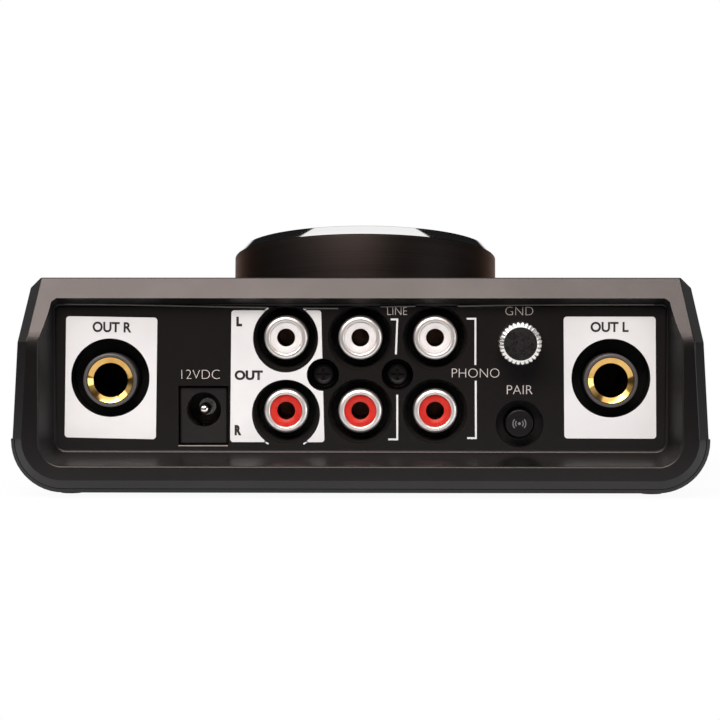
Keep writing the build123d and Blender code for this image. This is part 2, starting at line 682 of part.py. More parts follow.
def knob_hub():
    """Plastic insert that grips the shaft and carries the cup."""
    low, high = 3.6, KNOB_HEIGHT - KNOB_PLATE
    hub = post(8.0, low, high) + post(KNOB_RADIUS - KNOB_WALL - 0.1, high - 2.0, high)
    hub = hub - post(SHAFT_RADIUS, low, high - 1.2)
    for angle in (0, 60, 120):
        hub = hub + Rot(0, 0, angle) * block(-24.5, 24.5, -0.7, 0.7, high - 6, high - 2)
    hub = hub - post(SHAFT_RADIUS, low, high - 1.2)
    return TOP * (hub - Pos(0, -6, 6.2) * Rot(90, 0, 0) * Cylinder(1.5, 12))


def knob_set_screw():
    """Grub screw that locks the hub on the shaft."""
    screw = Pos(0, -5.5, 6.2) * Rot(90, 0, 0) * Cylinder(1.5, 5.0)
    return TOP * (screw - Pos(0, -7.5, 6.2) * Rot(90, 0, 0) * Cylinder(0.7, 1.6))


def pot_shaft():
    """Shaft of the volume control."""
    return TOP * post(SHAFT_RADIUS, -3.6, KNOB_HEIGHT - KNOB_PLATE - 1.2)


def pot_wiper():
    """Disc that carries the wipers inside the volume control."""
    return TOP * (post(6.0, -4.6, -3.6) + block(-1, 1, 2, 5.5, -5.0, -4.6))


def pot_bushing():
    """Threaded bushing of the volume control."""
    bush = post(3.5, -2.4, 3.2) + post(6.6, -3.1, -2.3)
    return TOP * (bush - post(SHAFT_RADIUS + 0.05, -4, 4))


def pot_body():
    """Case of the volume control, standing on the control board."""
    body = block(-8.5, 8.5, -8.5, 8.5, CONTROL_BOARD_W, -3.1)
    return TOP * (body - post(6.7, -7.5, -3.1))


def pot_nut():
    """Nut that clamps the bushing to the top."""
    nut = extrude(Pos(0, 0, 0.5) * RegularPolygon(5.2, 6), 1.8)
    return TOP * (nut - post(3.5, 0, 3))


def pot_washer():
    """Washer under the bushing's nut."""
    return TOP * (post(5.9, 0.0, 0.5) - post(3.5, -1, 1))


def button_cap(x):
    """Round push button of the top."""
    cap = post(BUTTON_RADIUS, -4.6, BUTTON_PROUD, x, BUTTON_V)
    rim = [edge for edge in cap.edges() if edge.center().Z > BUTTON_PROUD - 0.01]
    return TOP * (fillet(rim, 0.35) + post(4.5, -4.6, -2.6, x, BUTTON_V))


def button_plunger(x):
    """Moving stem of one push switch of the top."""
    return TOP * post(1.7, -6.8, -4.6, x, BUTTON_V)


def top_switch(x):
    """Body of one push switch of the top."""
    body = block(x - 3, x + 3, BUTTON_V - 3, BUTTON_V + 3, CONTROL_BOARD_W, -5.8)
    return TOP * (body - post(1.75, -7.5, -5.8, x, BUTTON_V))


def light_pipe(x):
    """Clear rod that brings a light to the top."""
    pipe = post(LIGHT_RADIUS, -7.8, 0.05, x, LIGHT_V)
    return TOP * (pipe + post(1.7, -3.4, -2.2, x, LIGHT_V))


def light(x):
    """Small lamp on the control board under a light pipe."""
    return TOP * block(x - 1, x + 1, LIGHT_V - 0.6, LIGHT_V + 0.6, CONTROL_BOARD_W, -7.8)


def control_board():
    """Sloping circuit board under the top."""
    low = CONTROL_BOARD_W - BOARD_THICKNESS
    board = block(-CONTROL_BOARD_HALF, CONTROL_BOARD_HALF, -50, 12, low, CONTROL_BOARD_W)
    for x, v in CONTROL_BOARD_SCREW_PLACES:
        board = board - post(1.2, low, CONTROL_BOARD_W, x, v)
    return TOP * board


# ---- main board ---------------------------------------------------------------------------
def main_board():
    """Circuit board that carries the sockets and the amplifier."""
    low = BOARD_TOP_Z - BOARD_THICKNESS
    board = block(-BOARD_HALF, BOARD_HALF, BOARD_FRONT_Y, BOARD_REAR_Y, low, BOARD_TOP_Z)
    for x, y in BOARD_SCREW_PLACES:
        board = board - post(1.1, low, BOARD_TOP_Z, x, y)
    for x, y in CASE_SCREW_PLACES[:2]:
        board = board - post(3.4, low, BOARD_TOP_Z, x, y)
    return board


def can(radius, height, x, y):
    """Electrolytic capacitor with its crimped groove."""
    z = BOARD_TOP_Z
    profile = [
        (0, z),
        (radius, z),
        (radius, z + 1.2),
        (radius - 0.3, z + 1.6),
        (radius, z + 2.0),
        (radius, z + height - 0.4),
        (radius - 0.4, z + height),
        (0, z + height),
    ]
    return turned_z(profile, x, y)


def on_board(width, depth, height, x, y):
    """Block-shaped component standing on the main board."""
    return block(
        x - width / 2,
        x + width / 2,
        y - depth / 2,
        y + depth / 2,
        BOARD_TOP_Z,
        BOARD_TOP_Z + height,
    )


def dual_chip(x, y):
    """Eight-legged amplifier chip."""
    chip = on_board(6.4, 9.8, 3.4, x, y) - on_board(6.4, 9.8, 0.4, x, y)
    for side in (-1, 1):
        for row in range(4):
            leg_y = y + (row - 1.5) * 2.54
            chip = chip + on_board(0.5, 0.5, 1.6, x + side * 3.4, leg_y)
    return chip


def regulator():
    """Three-legged power regulator bolted flat to its heat sink."""
    x, y, z = 27.0, 21.0, BOARD_TOP_Z
    body = block(x - 5, x + 5, y, y + 4.4, z + 3, z + 12)
    for offset in (-2.54, 0, 2.54):
        body = body + block(x + offset - 0.4, x + offset + 0.4, y + 1.5, y + 2.2, z, z + 4)
    return body


def heat_sink():
    """Finned heat sink of the regulator."""
    x, y, z = 27.0, 25.4, BOARD_TOP_Z
    sink = block(x - 8, x + 8, y, y + 1.6, z, z + 17)
    for fin in range(5):
        fin_x = x - 8 + fin * 3.7
        sink = sink + block(fin_x, fin_x + 1.2, y + 1, y + 7, z, z + 17)
    return sink


def wireless_board():
    """Small wireless receiver board soldered flat on the main board."""
    return on_board(13.0, 21.0, 0.8, -30.5, 25.5)


def wireless_shield():
    """Metal can over the receiver's chips."""
    z = BOARD_TOP_Z + 0.8
    can_block = block(-36.0, -25.0, 21.0, 34.5, z, z + 2.2)
    return can_block - block(-35.8, -25.2, 21.2, 34.3, z, z + 2.0)


RIBBON_X = -24.0
RIBBON_HALF = 6.4
LOWER_PLUG = (-2.5, 2.5, BOARD_TOP_Z, BOARD_TOP_Z + 3.6)  # y0, y1, z0, z1
UPPER_PLUG = (-2.0, 3.0, -12.6, -10.9)  # v0, v1, w0, w1


def ribbon_plugs():
    """The two connectors of the cable between the boards."""
    x0, x1 = RIBBON_X - RIBBON_HALF - 1, RIBBON_X + RIBBON_HALF + 1
    lower, upper = block(x0, x1, *LOWER_PLUG), TOP * block(x0, x1, *UPPER_PLUG)
    return Compound(children=[lower, upper])


def ribbon_cable():
    """Flat cable that loops from the control board down to the main board."""
    start = TOP * Pos(0, UPPER_PLUG[1], -11.6)
    y0, z0 = start.position.Y, start.position.Z
    y1, z1 = LOWER_PLUG[1], BOARD_TOP_Z + 1.8
    loop = 8.0
    path = Bezier((0, y0, z0), (0, y0 + loop, z0 + 1.57), (0, y1 + loop, z1), (0, y1, z1))
    section = Plane(origin=path @ 0, x_dir=(1, 0, 0), z_dir=path % 0) * Rectangle(12.8, 0.8)
    return Pos(RIBBON_X, 0, 0) * sweep(section, path)


# ---- all sub-parts ------------------------------------------------------------------------
def main():
    """Builds and writes every sub-part."""
    os.makedirs("parts", exist_ok=True)
    phono = phono_places()
    write("top_shell", top_shell())
    write("bottom_shell", bottom_shell())
    write("case_screws", case_screws())
    write("board_screws", board_screws())
    write("rubber_feet", rubber_feet())
    write("rear_panel", rear_panel())
    write("panel_screws", each(panel_screw, PANEL_SCREW_PLACES))
    write("phono_block", phono_block())
    write("phono_shells", each(phono_shell, phono))
    write("phono_insulators_left", each(phono_insulator, phono[0::2]))
    write("phono_insulators_right", each(phono_insulator, phono[1::2]))
    write("phono_contacts", each(phono_contact, phono))
    for side, x in JACK_PLACES.items():
        write(f"{side}_jack_body", jack_body(x))
        write(f"{side}_jack_ferrule", jack_ferrule(x))
        write(f"{side}_jack_springs", jack_springs(x))
    write("dc_jack_body", dc_jack_body())
    write("dc_jack_pin", dc_jack_pin())
    write("dc_jack_spring", dc_jack_spring())
    write("ground_bracket", ground_bracket())
    write("ground_washer", ground_washer())
    write("ground_screw", ground_screw())
    write("pair_button", pair_button())
    write("pair_plunger", pair_plunger())
    write("pair_switch", pair_switch())
    write("knob_shell", knob_shell())
    write("knob_pointer", knob_pointer())
    write("knob_hub", knob_hub())
    write("knob_set_screw", knob_set_screw())
    write("pot_shaft", pot_shaft())
    write("pot_wiper", pot_wiper())
    write("pot_bushing", pot_bushing())
    write("pot_body", pot_body())
    write("pot_nut", pot_nut())
    write("pot_washer", pot_washer())
    for name, x in BUTTON_PLACES.items():
        write(f"{name}_button", button_cap(x))
        write(f"{name}_plunger", button_plunger(x))
    columns = [(x,) for x in BUTTON_PLACES.values()]
    write("top_switches", each(top_switch, columns))
    write("light_pipes", each(light_pipe, columns))
    write("lights", each(light, columns))
    write("control_board", control_board())
    write("main_board", main_board())
    cans = [(5.0, 14.0, 32.0, 38.6), (5.0, 12.0, 13.0, 19.2)]
    cans += [(2.6, 6.0, x, 12.5) for x in (-14.0, -7.0, 0.0)]
    write("electrolytic_capacitors", each(can, cans))
    film = [(4.4, 7.2, 7.5, x, 19.5) for x in (-18.0, -3.5, 3.5)]
    write("film_capacitors", each(on_board, film))
    write("relays", each(on_board, [(10.0, 12.0, 9.0, x, 30.5) for x in (-13.0, 0.0, 13.0)]))
    write("amplifier_chips", each(dual_chip, [(x, 2.0) for x in (-8.0, 4.0, 16.0)]))
    write("regulator", regulator())
    write("heat_sink", heat_sink())
    write("wireless_board", wireless_board())
    write("wireless_shield", wireless_shield())
    write("ribbon_plugs", ribbon_plugs())
    write("ribbon_cable", ribbon_cable())


if __name__ == "__main__":
    main()
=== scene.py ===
import json
from math import cos, pi, radians, sin, tan

import bmesh
import bpy
from mathutils import Matrix, Vector


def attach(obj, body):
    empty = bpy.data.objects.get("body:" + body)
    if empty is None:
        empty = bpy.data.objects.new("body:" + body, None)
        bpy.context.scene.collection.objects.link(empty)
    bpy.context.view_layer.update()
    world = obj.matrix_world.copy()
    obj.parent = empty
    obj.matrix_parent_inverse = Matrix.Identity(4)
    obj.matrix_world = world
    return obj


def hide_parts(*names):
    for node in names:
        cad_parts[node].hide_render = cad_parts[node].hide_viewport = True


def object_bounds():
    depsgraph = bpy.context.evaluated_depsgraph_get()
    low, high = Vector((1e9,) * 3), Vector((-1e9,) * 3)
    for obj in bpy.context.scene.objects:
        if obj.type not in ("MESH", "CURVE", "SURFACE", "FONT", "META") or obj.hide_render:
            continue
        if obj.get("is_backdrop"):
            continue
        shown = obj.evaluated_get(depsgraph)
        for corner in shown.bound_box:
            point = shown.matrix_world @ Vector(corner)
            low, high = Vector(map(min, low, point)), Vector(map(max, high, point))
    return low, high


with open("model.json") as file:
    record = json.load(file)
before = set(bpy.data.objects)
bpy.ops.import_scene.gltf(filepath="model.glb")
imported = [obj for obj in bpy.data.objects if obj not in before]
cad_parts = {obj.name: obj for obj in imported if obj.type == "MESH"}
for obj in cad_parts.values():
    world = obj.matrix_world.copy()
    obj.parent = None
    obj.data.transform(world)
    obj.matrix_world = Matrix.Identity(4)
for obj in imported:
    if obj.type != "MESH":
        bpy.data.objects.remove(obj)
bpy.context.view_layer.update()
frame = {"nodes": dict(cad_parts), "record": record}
nodes = frame["nodes"]
MM = 0.001


# ---- camera -------------------------------------------------------------------------------
# A long lens half a metre behind the case, level with its top and a little to one side,
# turned so that the case fills the frame.
def new_object(name, data):
    """Puts a mesh, a curve, a lamp or a lens in the scene."""
    made = bpy.data.objects.new(name, data)
    bpy.context.scene.collection.objects.link(made)
    return made


def aim(thing, direction):
    """Turns a camera or a lamp so that it looks along a direction."""
    thing.rotation_euler = direction.to_track_quat("-Z", "Y").to_euler()


lens = bpy.data.cameras.new("rear_lens")
lens.lens = 133.9
lens.sensor_width = 36.0
lens.clip_start = 0.01
lens.clip_end = 20.0
camera = new_object("rear_camera", lens)
camera.location = (-0.0086, 0.559, 0.048)
turn_aside = radians(0.99)
look_down = radians(2.57)
sight = Vector((
    sin(turn_aside) * cos(look_down),
    -cos(turn_aside) * cos(look_down),
    -sin(look_down),
))
aim(camera, sight)
bpy.context.scene.camera = camera
bpy.context.scene.view_settings.view_transform = "Standard"


# ---- studio -------------------------------------------------------------------------------
# A white sweep under the case and a broad overhead softbox. The leaning facet mirrors a strip
# box above the camera, and the plated sockets mirror two side cards. The room is dim, so that
# black plastic stays black.
def put(tree, kind, inputs=(), **settings):
    """Adds one shader node; a node output given as an input is linked to it."""
    node = tree.nodes.new(kind)
    for key, value in settings.items():
        setattr(node, key, value)
    for key, value in dict(inputs).items():
        if isinstance(value, bpy.types.NodeSocket):
            tree.links.new(value, node.inputs[key])
        else:
            node.inputs[key].default_value = value
    return node


def maths(tree, operation, a, b=0.0):
    """Sum, product or the like of two numbers or node outputs."""
    return put(tree, "ShaderNodeMath", {0: a, 1: b}, operation=operation).outputs[0]


def ramp(tree, value, low, high, start=0.0, end=1.0):
    """Smooth step of a value from start at low to end at high."""
    limits = {"Value": value, "From Min": low, "From Max": high, "To Min": start, "To Max": end}
    return put(tree, "ShaderNodeMapRange", limits, interpolation_type="SMOOTHSTEP").outputs[0]


def parts_of(tree, coordinate):
    """X, Y and Z of a texture coordinate."""
    where = put(tree, "ShaderNodeTexCoord").outputs[coordinate]
    return put(tree, "ShaderNodeSeparateXYZ", {0: where}).outputs


def straight_view(tree):
    """1 for the rays that show a background: from the camera, from gloss and through glass."""
    ray = put(tree, "ShaderNodeLightPath").outputs
    seen = maths(tree, "MAXIMUM", ray["Is Camera Ray"], ray["Is Glossy Ray"])
    return maths(tree, "MAXIMUM", seen, ray["Is Transmission Ray"])


def mesh_of(name, form):
    """Ends a mesh being made and gives it a name."""
    mesh = bpy.data.meshes.new(name)
    form.to_mesh(mesh)
    form.free()
    return mesh


room = bpy.data.worlds.new("studio_room")
bpy.context.scene.world = room
room.use_nodes = True
tree = room.node_tree
tree.nodes.clear()
way = parts_of(tree, "Generated")
backdrop = ramp(tree, way["Y"], -0.85, -0.5, 1.0, 0.0)
backdrop = maths(tree, "MULTIPLY", backdrop, ramp(tree, way["Z"], 0.13, 0.25, 1.0, 0.0))
backdrop = maths(tree, "MULTIPLY", backdrop, straight_view(tree))
ray = put(tree, "ShaderNodeLightPath").outputs
shown = maths(tree, "MAXIMUM", backdrop, ray["Is Camera Ray"])
ceiling = ramp(tree, way["Z"], 0.6, 0.85)
ceiling = maths(tree, "MULTIPLY", ceiling, ramp(tree, way["Y"], -0.2, 0.2, 0.0, 0.4))
sides = ramp(tree, maths(tree, "ABSOLUTE", way["X"]), 0.55, 0.9)
sides = maths(tree, "MULTIPLY", sides, ramp(tree, way["Z"], 0.02, 0.3, 0.0, 0.5))
glow = maths(tree, "MAXIMUM", ceiling, sides)
glow = maths(tree, "ADD", glow, ramp(tree, way["Y"], -0.4, 0.0, 0.012, 0.06))
walls = put(tree, "ShaderNodeCombineColor", {0: glow, 1: glow, 2: glow}).outputs[0]
dim = put(tree, "ShaderNodeBackground", {"Color": walls, "Strength": 1.0}).outputs[0]
white = put(tree, "ShaderNodeBackground", {"Color": (1, 1, 1, 1), "Strength": 1.0}).outputs[0]
blend = put(tree, "ShaderNodeMixShader", {0: shown, 1: dim, 2: white}).outputs[0]
put(tree, "ShaderNodeOutputWorld", {"Surface": blend})

sweep = bpy.data.materials.new("white_sweep")
sweep.use_nodes = True
tree = sweep.node_tree
tree.nodes.clear()
paper = put(tree, "ShaderNodeBsdfDiffuse", {"Color": (0.9, 0.9, 0.9, 1)}).outputs[0]
card = put(tree, "ShaderNodeEmission", {"Color": (1, 1, 1, 1), "Strength": 1.0}).outputs[0]
here = parts_of(tree, "Object")
away = maths(tree, "MAXIMUM", maths(tree, "ABSOLUTE", here["X"]), maths(tree, "ABSOLUTE", here["Y"]))
share = maths(tree, "MULTIPLY", straight_view(tree), ramp(tree, away, 0.07, 0.11, 0.95, 1.0))
paper = put(tree, "ShaderNodeMixShader", {0: share, 1: paper, 2: card}).outputs[0]
put(tree, "ShaderNodeOutputMaterial", {"Surface": paper})
FLOOR_SIDE = 0.3
FLOOR_REAR = 0.12
FLOOR_FRONT = -0.4
ground = bmesh.new()
corners = [
    ground.verts.new((x, y, 0))
    for x, y in (
        (-FLOOR_SIDE, FLOOR_REAR),
        (FLOOR_SIDE, FLOOR_REAR),
        (FLOOR_SIDE, FLOOR_FRONT),
        (-FLOOR_SIDE, FLOOR_FRONT),
    )
]
ground.faces.new(corners[::-1])
floor_mesh = mesh_of("floor", ground)
floor_mesh.materials.append(sweep)
floor = new_object("floor", floor_mesh)
floor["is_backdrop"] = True


def softbox(name, place, target, width, height, level, colour=(1.0, 1.0, 1.0)):
    """Rectangular lamp that points at a target; a level of 1 looks as bright as white paper."""
    light = bpy.data.lights.new(name, "AREA")
    light.shape = "RECTANGLE"
    light.size = width
    light.size_y = height
    light.energy = level * pi * width * height
    light.color = colour
    lamp = new_object(name, light)
    lamp.location = place
    aim(lamp, Vector(target) - Vector(place))
    lamp.visible_camera = False


WARM_WHITE = (1.0, 0.865, 0.81)
softbox("overhead_softbox", (0, 0.225, 1.2), (0, 0.225, 0), 1.5, 1.75, 1.0)
softbox("strip_box", (0.22, 1.01, 0.92), (0, 0.06, 0.03), 1.0, 0.5, 11.9, WARM_WHITE)
softbox("left_side_card", (0.95, 0.7, 0.85), (0, 0.06, 0.02), 0.7, 0.45, 3.0)
softbox("right_side_card", (-1.0, 0.62, 0.05), (0, 0.06, 0.02), 0.6, 0.36, 3.4)


# ---- case ---------------------------------------------------------------------------------
# Upper shell and tray, injection-moulded in charcoal plastic with a fine spark-eroded grain,
# coarser on the walls of the rear recess. The tray is screwed to the shell from below, and
# handling polishes the grain in soft patches.
def new_material(name):
    """Material with its node tree and its Principled shader."""
    material = bpy.data.materials.new(name)
    material.use_nodes = True
    return material, material.node_tree, material.node_tree.nodes["Principled BSDF"]


def new_effect(name, inputs, outputs):
    """Empty node group with named number inputs and outputs, and its two end nodes."""
    group = bpy.data.node_groups.new(name, "ShaderNodeTree")
    for label, value in inputs.items():
        socket = group.interface.new_socket(label, in_out="INPUT", socket_type="NodeSocketFloat")
        socket.default_value = value
    for label in outputs:
        group.interface.new_socket(label, in_out="OUTPUT", socket_type="NodeSocketFloat")
    return group, put(group, "NodeGroupInput").outputs, put(group, "NodeGroupOutput")


def noise(tree, where, scale, detail=2.0, rough=0.5):
    """Noise value over a place."""
    inputs = {"Vector": where, "Scale": scale, "Detail": detail, "Roughness": rough}
    return put(tree, "ShaderNodeTexNoise", inputs).outputs["Fac"]


def tint(tree, share, dark, light):
    """Colour between two, by share."""
    inputs = {0: share, 6: (*dark, 1), 7: (*light, 1)}
    return put(tree, "ShaderNodeMix", inputs, data_type="RGBA").outputs[2]


def dress(tree, skin, colour, roughness, relief=None, depth=0.1, distance=0.00002):
    """Links a colour, a roughness and a fine relief to a material's own shader."""
    tree.links.new(colour, skin.inputs["Base Color"])
    tree.links.new(roughness, skin.inputs["Roughness"])
    if relief is not None:
        bump = {"Height": relief, "Strength": depth, "Distance": distance}
        tree.links.new(put(tree, "ShaderNodeBump", bump).outputs[0], skin.inputs["Normal"])


mould_grain, given, result = new_effect(
    "mould_grain", {"Grains per metre": 6000.0, "Patches per metre": 60.0}, ["Height", "Patches", "Specks"]
)
here = put(mould_grain, "ShaderNodeTexCoord").outputs["Object"]
pits = noise(mould_grain, here, given["Grains per metre"], 2.0, 0.6)
inputs = {"Vector": here, "Scale": maths(mould_grain, "MULTIPLY", given["Grains per metre"], 0.55)}
cells = put(mould_grain, "ShaderNodeTexVoronoi", inputs).outputs["Distance"]
height = maths(mould_grain, "MULTIPLY", pits, 0.7)
height = maths(mould_grain, "ADD", height, maths(mould_grain, "MULTIPLY", cells, 0.4))
patches = noise(mould_grain, here, given["Patches per metre"], 3.0, 0.55)
SPECKS_PER_METRE = 2600.0
specks = noise(mould_grain, here, SPECKS_PER_METRE, 1.0, 0.5)
mould_grain.links.new(height, result.inputs["Height"])
mould_grain.links.new(ramp(mould_grain, patches, 0.35, 0.7), result.inputs["Patches"])
mould_grain.links.new(ramp(mould_grain, specks, 0.74, 0.8), result.inputs["Specks"])


def moulded(name, dark, light, rough, grains=6000.0, depth=0.25, gloss=0.5):
    """Moulded plastic whose colour drifts from dark to light and whose grain breaks the gloss."""
    material, tree, skin = new_material(name)
    grain = put(tree, "ShaderNodeGroup", {"Grains per metre": grains}, node_tree=mould_grain).outputs
    polish = 0.014
    dull = ramp(tree, grain["Patches"], 0.0, 1.0, rough + polish, rough - polish)
    dull = maths(tree, "ADD", dull, maths(tree, "MULTIPLY", grain["Specks"], 0.08))
    colour = tint(tree, grain["Patches"], dark, light)
    dress(tree, skin, colour, dull, grain["Height"], depth, 0.00004)
    skin.inputs["Specular IOR Level"].default_value = gloss
    return material


def paint(material, *names):
    """Gives CAD nodes their finish."""
    for name in names:
        for place in nodes[name].material_slots:
            place.material = material


CHARCOAL = ((0.0026, 0.0024, 0.0023), (0.0044, 0.004, 0.0039))
RECESS_ROUGHER = 0.16
case_plastic = moulded("case_plastic", *CHARCOAL, 0.31, gloss=0.4)
tree = case_plastic.node_tree
skin = tree.nodes["Principled BSDF"]
here = parts_of(tree, "Object")
facing = parts_of(tree, "Normal")
inwards = maths(tree, "MULTIPLY", here["X"], facing["X"])
recess = ramp(tree, inwards, -0.03, -0.01, 1.0, 0.0)
recess = maths(tree, "MAXIMUM", recess, ramp(tree, facing["Z"], -0.6, -0.4, 1.0, 0.0))
dull = skin.inputs["Roughness"].links[0].from_socket
dull = maths(tree, "ADD", dull, maths(tree, "MULTIPLY", recess, RECESS_ROUGHER))
tree.links.new(dull, skin.inputs["Roughness"])
skin.inputs["Specular Tint"].default_value = (1.0, 0.965, 0.96, 1)
paint(case_plastic, "top_shell")
tray_plastic = moulded("tray_plastic", *CHARCOAL, 0.33, gloss=0.3)
paint(tray_plastic, "bottom_shell")


# ---- case screws --------------------------------------------------------------------------
# Four black self-tapping screws with cross recesses, sunk in the tray's posts.
# The board screws inside are zinc plated.
smudges, given, result = new_effect("smudges", {"Smudges per metre": 150.0}, ["Smear", "Scratch"])
here = put(smudges, "ShaderNodeTexCoord").outputs["Object"]
smear = noise(smudges, here, given["Smudges per metre"], 4.0, 0.6)
squeezed = put(smudges, "ShaderNodeMapping", {"Vector": here, "Scale": (1.0, 0.12, 1.0)}).outputs[0]
scratch = noise(smudges, squeezed, maths(smudges, "MULTIPLY", given["Smudges per metre"], 60.0), 3.0, 0.7)
smudges.links.new(ramp(smudges, smear, 0.3, 0.75), result.inputs["Smear"])
smudges.links.new(scratch, result.inputs["Scratch"])


def plated(name, dark, light, rough, spread=0.1, smudging=150.0, depth=0.08):
    """Bare or plated metal, dulled here and there by handling and crossed by hairline marks."""
    material, tree, skin = new_material(name)
    marks = put(tree, "ShaderNodeGroup", {"Smudges per metre": smudging}, node_tree=smudges).outputs
    colour = tint(tree, marks["Smear"], light, dark)
    dull = ramp(tree, marks["Smear"], 0.0, 1.0, rough, rough + spread)
    dress(tree, skin, colour, dull, marks["Scratch"], depth)
    skin.inputs["Metallic"].default_value = 1.0
    return material


black_steel = plated("black_steel", (0.03, 0.03, 0.032), (0.07, 0.07, 0.072), 0.38)
zinc_steel = plated("zinc_steel", (0.42, 0.42, 0.41), (0.6, 0.6, 0.59), 0.3)
paint(black_steel, "case_screws")
paint(zinc_steel, "board_screws")


# ---- feet ---------------------------------------------------------------------------------
# Four small feet of black rubber, moulded with a dull and coarse surface and stuck in the
# corners of the tray.
foot_rubber = moulded("foot_rubber", (0.012, 0.012, 0.012), (0.022, 0.021, 0.02), 0.72, 3500.0, 0.4, 0.3)
paint(foot_rubber, "rubber_feet")


# ---- rear panel ---------------------------------------------------------------------------
# Black moulded panel with a sunk well round every socket, held by two screws. The walls of
# the wells are painted paler, a painted highlight for the light they catch. The panel's upper
# edge is slightly bowed; pale beads along it are a painted highlight under the case's rim.
PANEL_FACE = 59.0
PANEL_HALF = 57.4
PANEL_LOW = 8.25
PANEL_HIGH = 35.94
panel_plastic = moulded(
    "panel_plastic", (0.0055, 0.0048, 0.0046), (0.0077, 0.0068, 0.0065), 0.33, 7000.0, 0.22, 0.28
)
tree = panel_plastic.node_tree
skin = tree.nodes["Principled BSDF"]
# Painted highlight: everything more than 0.2 mm behind the panel's face turns paler, fully from 0.7 mm, so
# the walls of the wells look lit.
deep = parts_of(tree, "Object")["Y"]
sunk = ramp(tree, deep, (PANEL_FACE - 0.7) * MM, (PANEL_FACE - 0.2) * MM, 1.0, 0.0)
tone = skin.inputs["Base Color"].links[0].from_socket
well_wall_painted_light = {0: sunk, 6: tone, 7: (0.016, 0.0147, 0.014, 1)}
tone = put(tree, "ShaderNodeMix", well_wall_painted_light, data_type="RGBA").outputs[2]
tree.links.new(tone, skin.inputs["Base Color"])
paint(panel_plastic, "rear_panel")
# Painted highlight: pale plastic for the beads along the panel's upper edge, a bright line drawn in where the
# edge is in shade.
painted_edge_highlight = moulded("panel_edge_painted_highlight", (0.11, 0.1, 0.096), (0.15, 0.138, 0.132), 0.35, 7000.0, 0.1)


def seen_from_rear(x, z):
    """Axis through the rear, with its own X to the viewer's right and its own Z to the viewer."""
    return Matrix(((-1, 0, 0, x * MM), (0, 0, 1, 0), (0, 1, 0, z * MM), (0, 0, 0, 1)))


def bead(name, points, radius, material):
    """Thin round bead along a smooth line on the panel's face; points are (x, y, z) in mm."""
    line = bpy.data.curves.new(name, "CURVE")
    line.dimensions = "3D"
    line.bevel_depth = radius * MM
    line.bevel_resolution = 4
    line.resolution_u = 16
    line.use_fill_caps = True
    run = line.splines.new("NURBS")
    run.points.add(len(points) - 1)
    for point, (x, y, z) in zip(run.points, points):
        point.co = (x * MM, y * MM, z * MM, 1.0)
    run.order_u = 3
    run.use_endpoint_u = True
    line.materials.append(material)
    made = new_object(name, line)
    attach(made, "chassis")


CRESTS = {
    "right": [(55.3, 36.07), (36.4, 35.74), (25.0, 35.48), (17.5, 35.36)],
    "middle_right": [(10.6, 35.22), (7.3, 35.2), (4.1, 35.2)],
    "middle_left": [(-3.8, 35.52), (-7.0, 35.58), (-10.3, 35.64)],
    "left": [(-18.2, 35.66), (-29.4, 35.87), (-42.0, 35.93), (-54.8, 35.95)],
}
CREST_LIFT = 0.03
for name, crest in CRESTS.items():
    line = [(x, PANEL_FACE + CREST_LIFT, z) for x, z in crest]
    bead("panel_top_edge_" + name, line, 0.15, painted_edge_highlight)


def eased(points, steps=6):
    """Outline with its corners rounded; each point is (a, b) or (a, b, radius)."""
    outline = []
    for index, point in enumerate(points):
        here = Vector(point[:2])
        if len(point) == 2:
            outline.append(here)
            continue
        one = (Vector(points[index - 1][:2]) - here).normalized()
        two = (Vector(points[(index + 1) % len(points)][:2]) - here).normalized()
        half = one.angle(two) / 2
        middle = here + (one + two).normalized() * (point[2] / sin(half))
        first = here + one * (point[2] / tan(half)) - middle
        last = here + two * (point[2] / tan(half)) - middle
        sweep_angle = first.angle(last)
        for step in range(steps + 1):
            part = step / steps
            spoke = first * sin((1 - part) * sweep_angle) + last * sin(part * sweep_angle)
            outline.append(middle + spoke / sin(sweep_angle))
    return outline


def finished(name, form, material, body, place=Matrix.Identity(4), sharp=30.0):
    """Turns a mesh being made into a piece that rides on a body, smooth except at its corners."""
    bmesh.ops.recalc_face_normals(form, faces=form.faces)
    for face in form.faces:
        face.smooth = True
    for edge in form.edges:
        edge.smooth = edge.calc_face_angle(0.0) < radians(sharp)
    mesh = mesh_of(name, form)
    mesh.materials.append(material)
    made = new_object(name, mesh)
    made.matrix_world = place
    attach(made, body)
    return made


def panel_rim(grow):
    """Outline of the panel's opening in the case, grown by an amount; (x, z) in mm."""
    half = PANEL_HALF + grow
    high = PANEL_HIGH + grow
    shoulder_x = PANEL_HALF - 0.8 + 0.4 * grow
    shoulder_z = PANEL_HIGH - 0.74 + 0.4 * grow
    right = [(half, PANEL_LOW - grow, 2.3 + grow), (half, shoulder_z), (shoulder_x, high)]
    left = [(-point[0], *point[1:]) for point in right[::-1]]
    return eased(right + left, 12)


TRIM_SECTION = [
    (-0.5, 58.99),
    (-0.3, 59.005),
    (0.03, 59.135),
    (0.03, 58.55),
    (-0.09, 58.5),
    (-0.13, 58.72),
    (-0.25, 58.86),
    (-0.4, 58.96),
]
TRIM_SUNK = 0.25  # the trim lies this much deeper along the panel's upper edge
UPPER_EDGE = 34.0
trim = bmesh.new()
loops = []
for grow, y in TRIM_SECTION:
    loop = []
    for x, z in panel_rim(grow):
        depth = y - TRIM_SUNK if z > UPPER_EDGE else y
        loop.append(trim.verts.new((x * MM, depth * MM, z * MM)))
    loops.append(loop)
for one, two in zip(loops, loops[1:] + loops[:1]):
    for index in range(len(one)):
        following = (index + 1) % len(one)
        trim.faces.new((one[index], two[index], two[following], one[following]))
finished("panel_trim", trim, case_plastic, "chassis")


# ---- printed labels -----------------------------------------------------------------------
# White and black pad-printing on the panel: three white fields round the outputs,
# plain white legends for the inputs, and brackets that tie each column of sockets together.
INK_THICKNESS = 0.05
mounts = {mount["name"]: mount["pos_m"] for mount in frame["record"]["mounts"]}


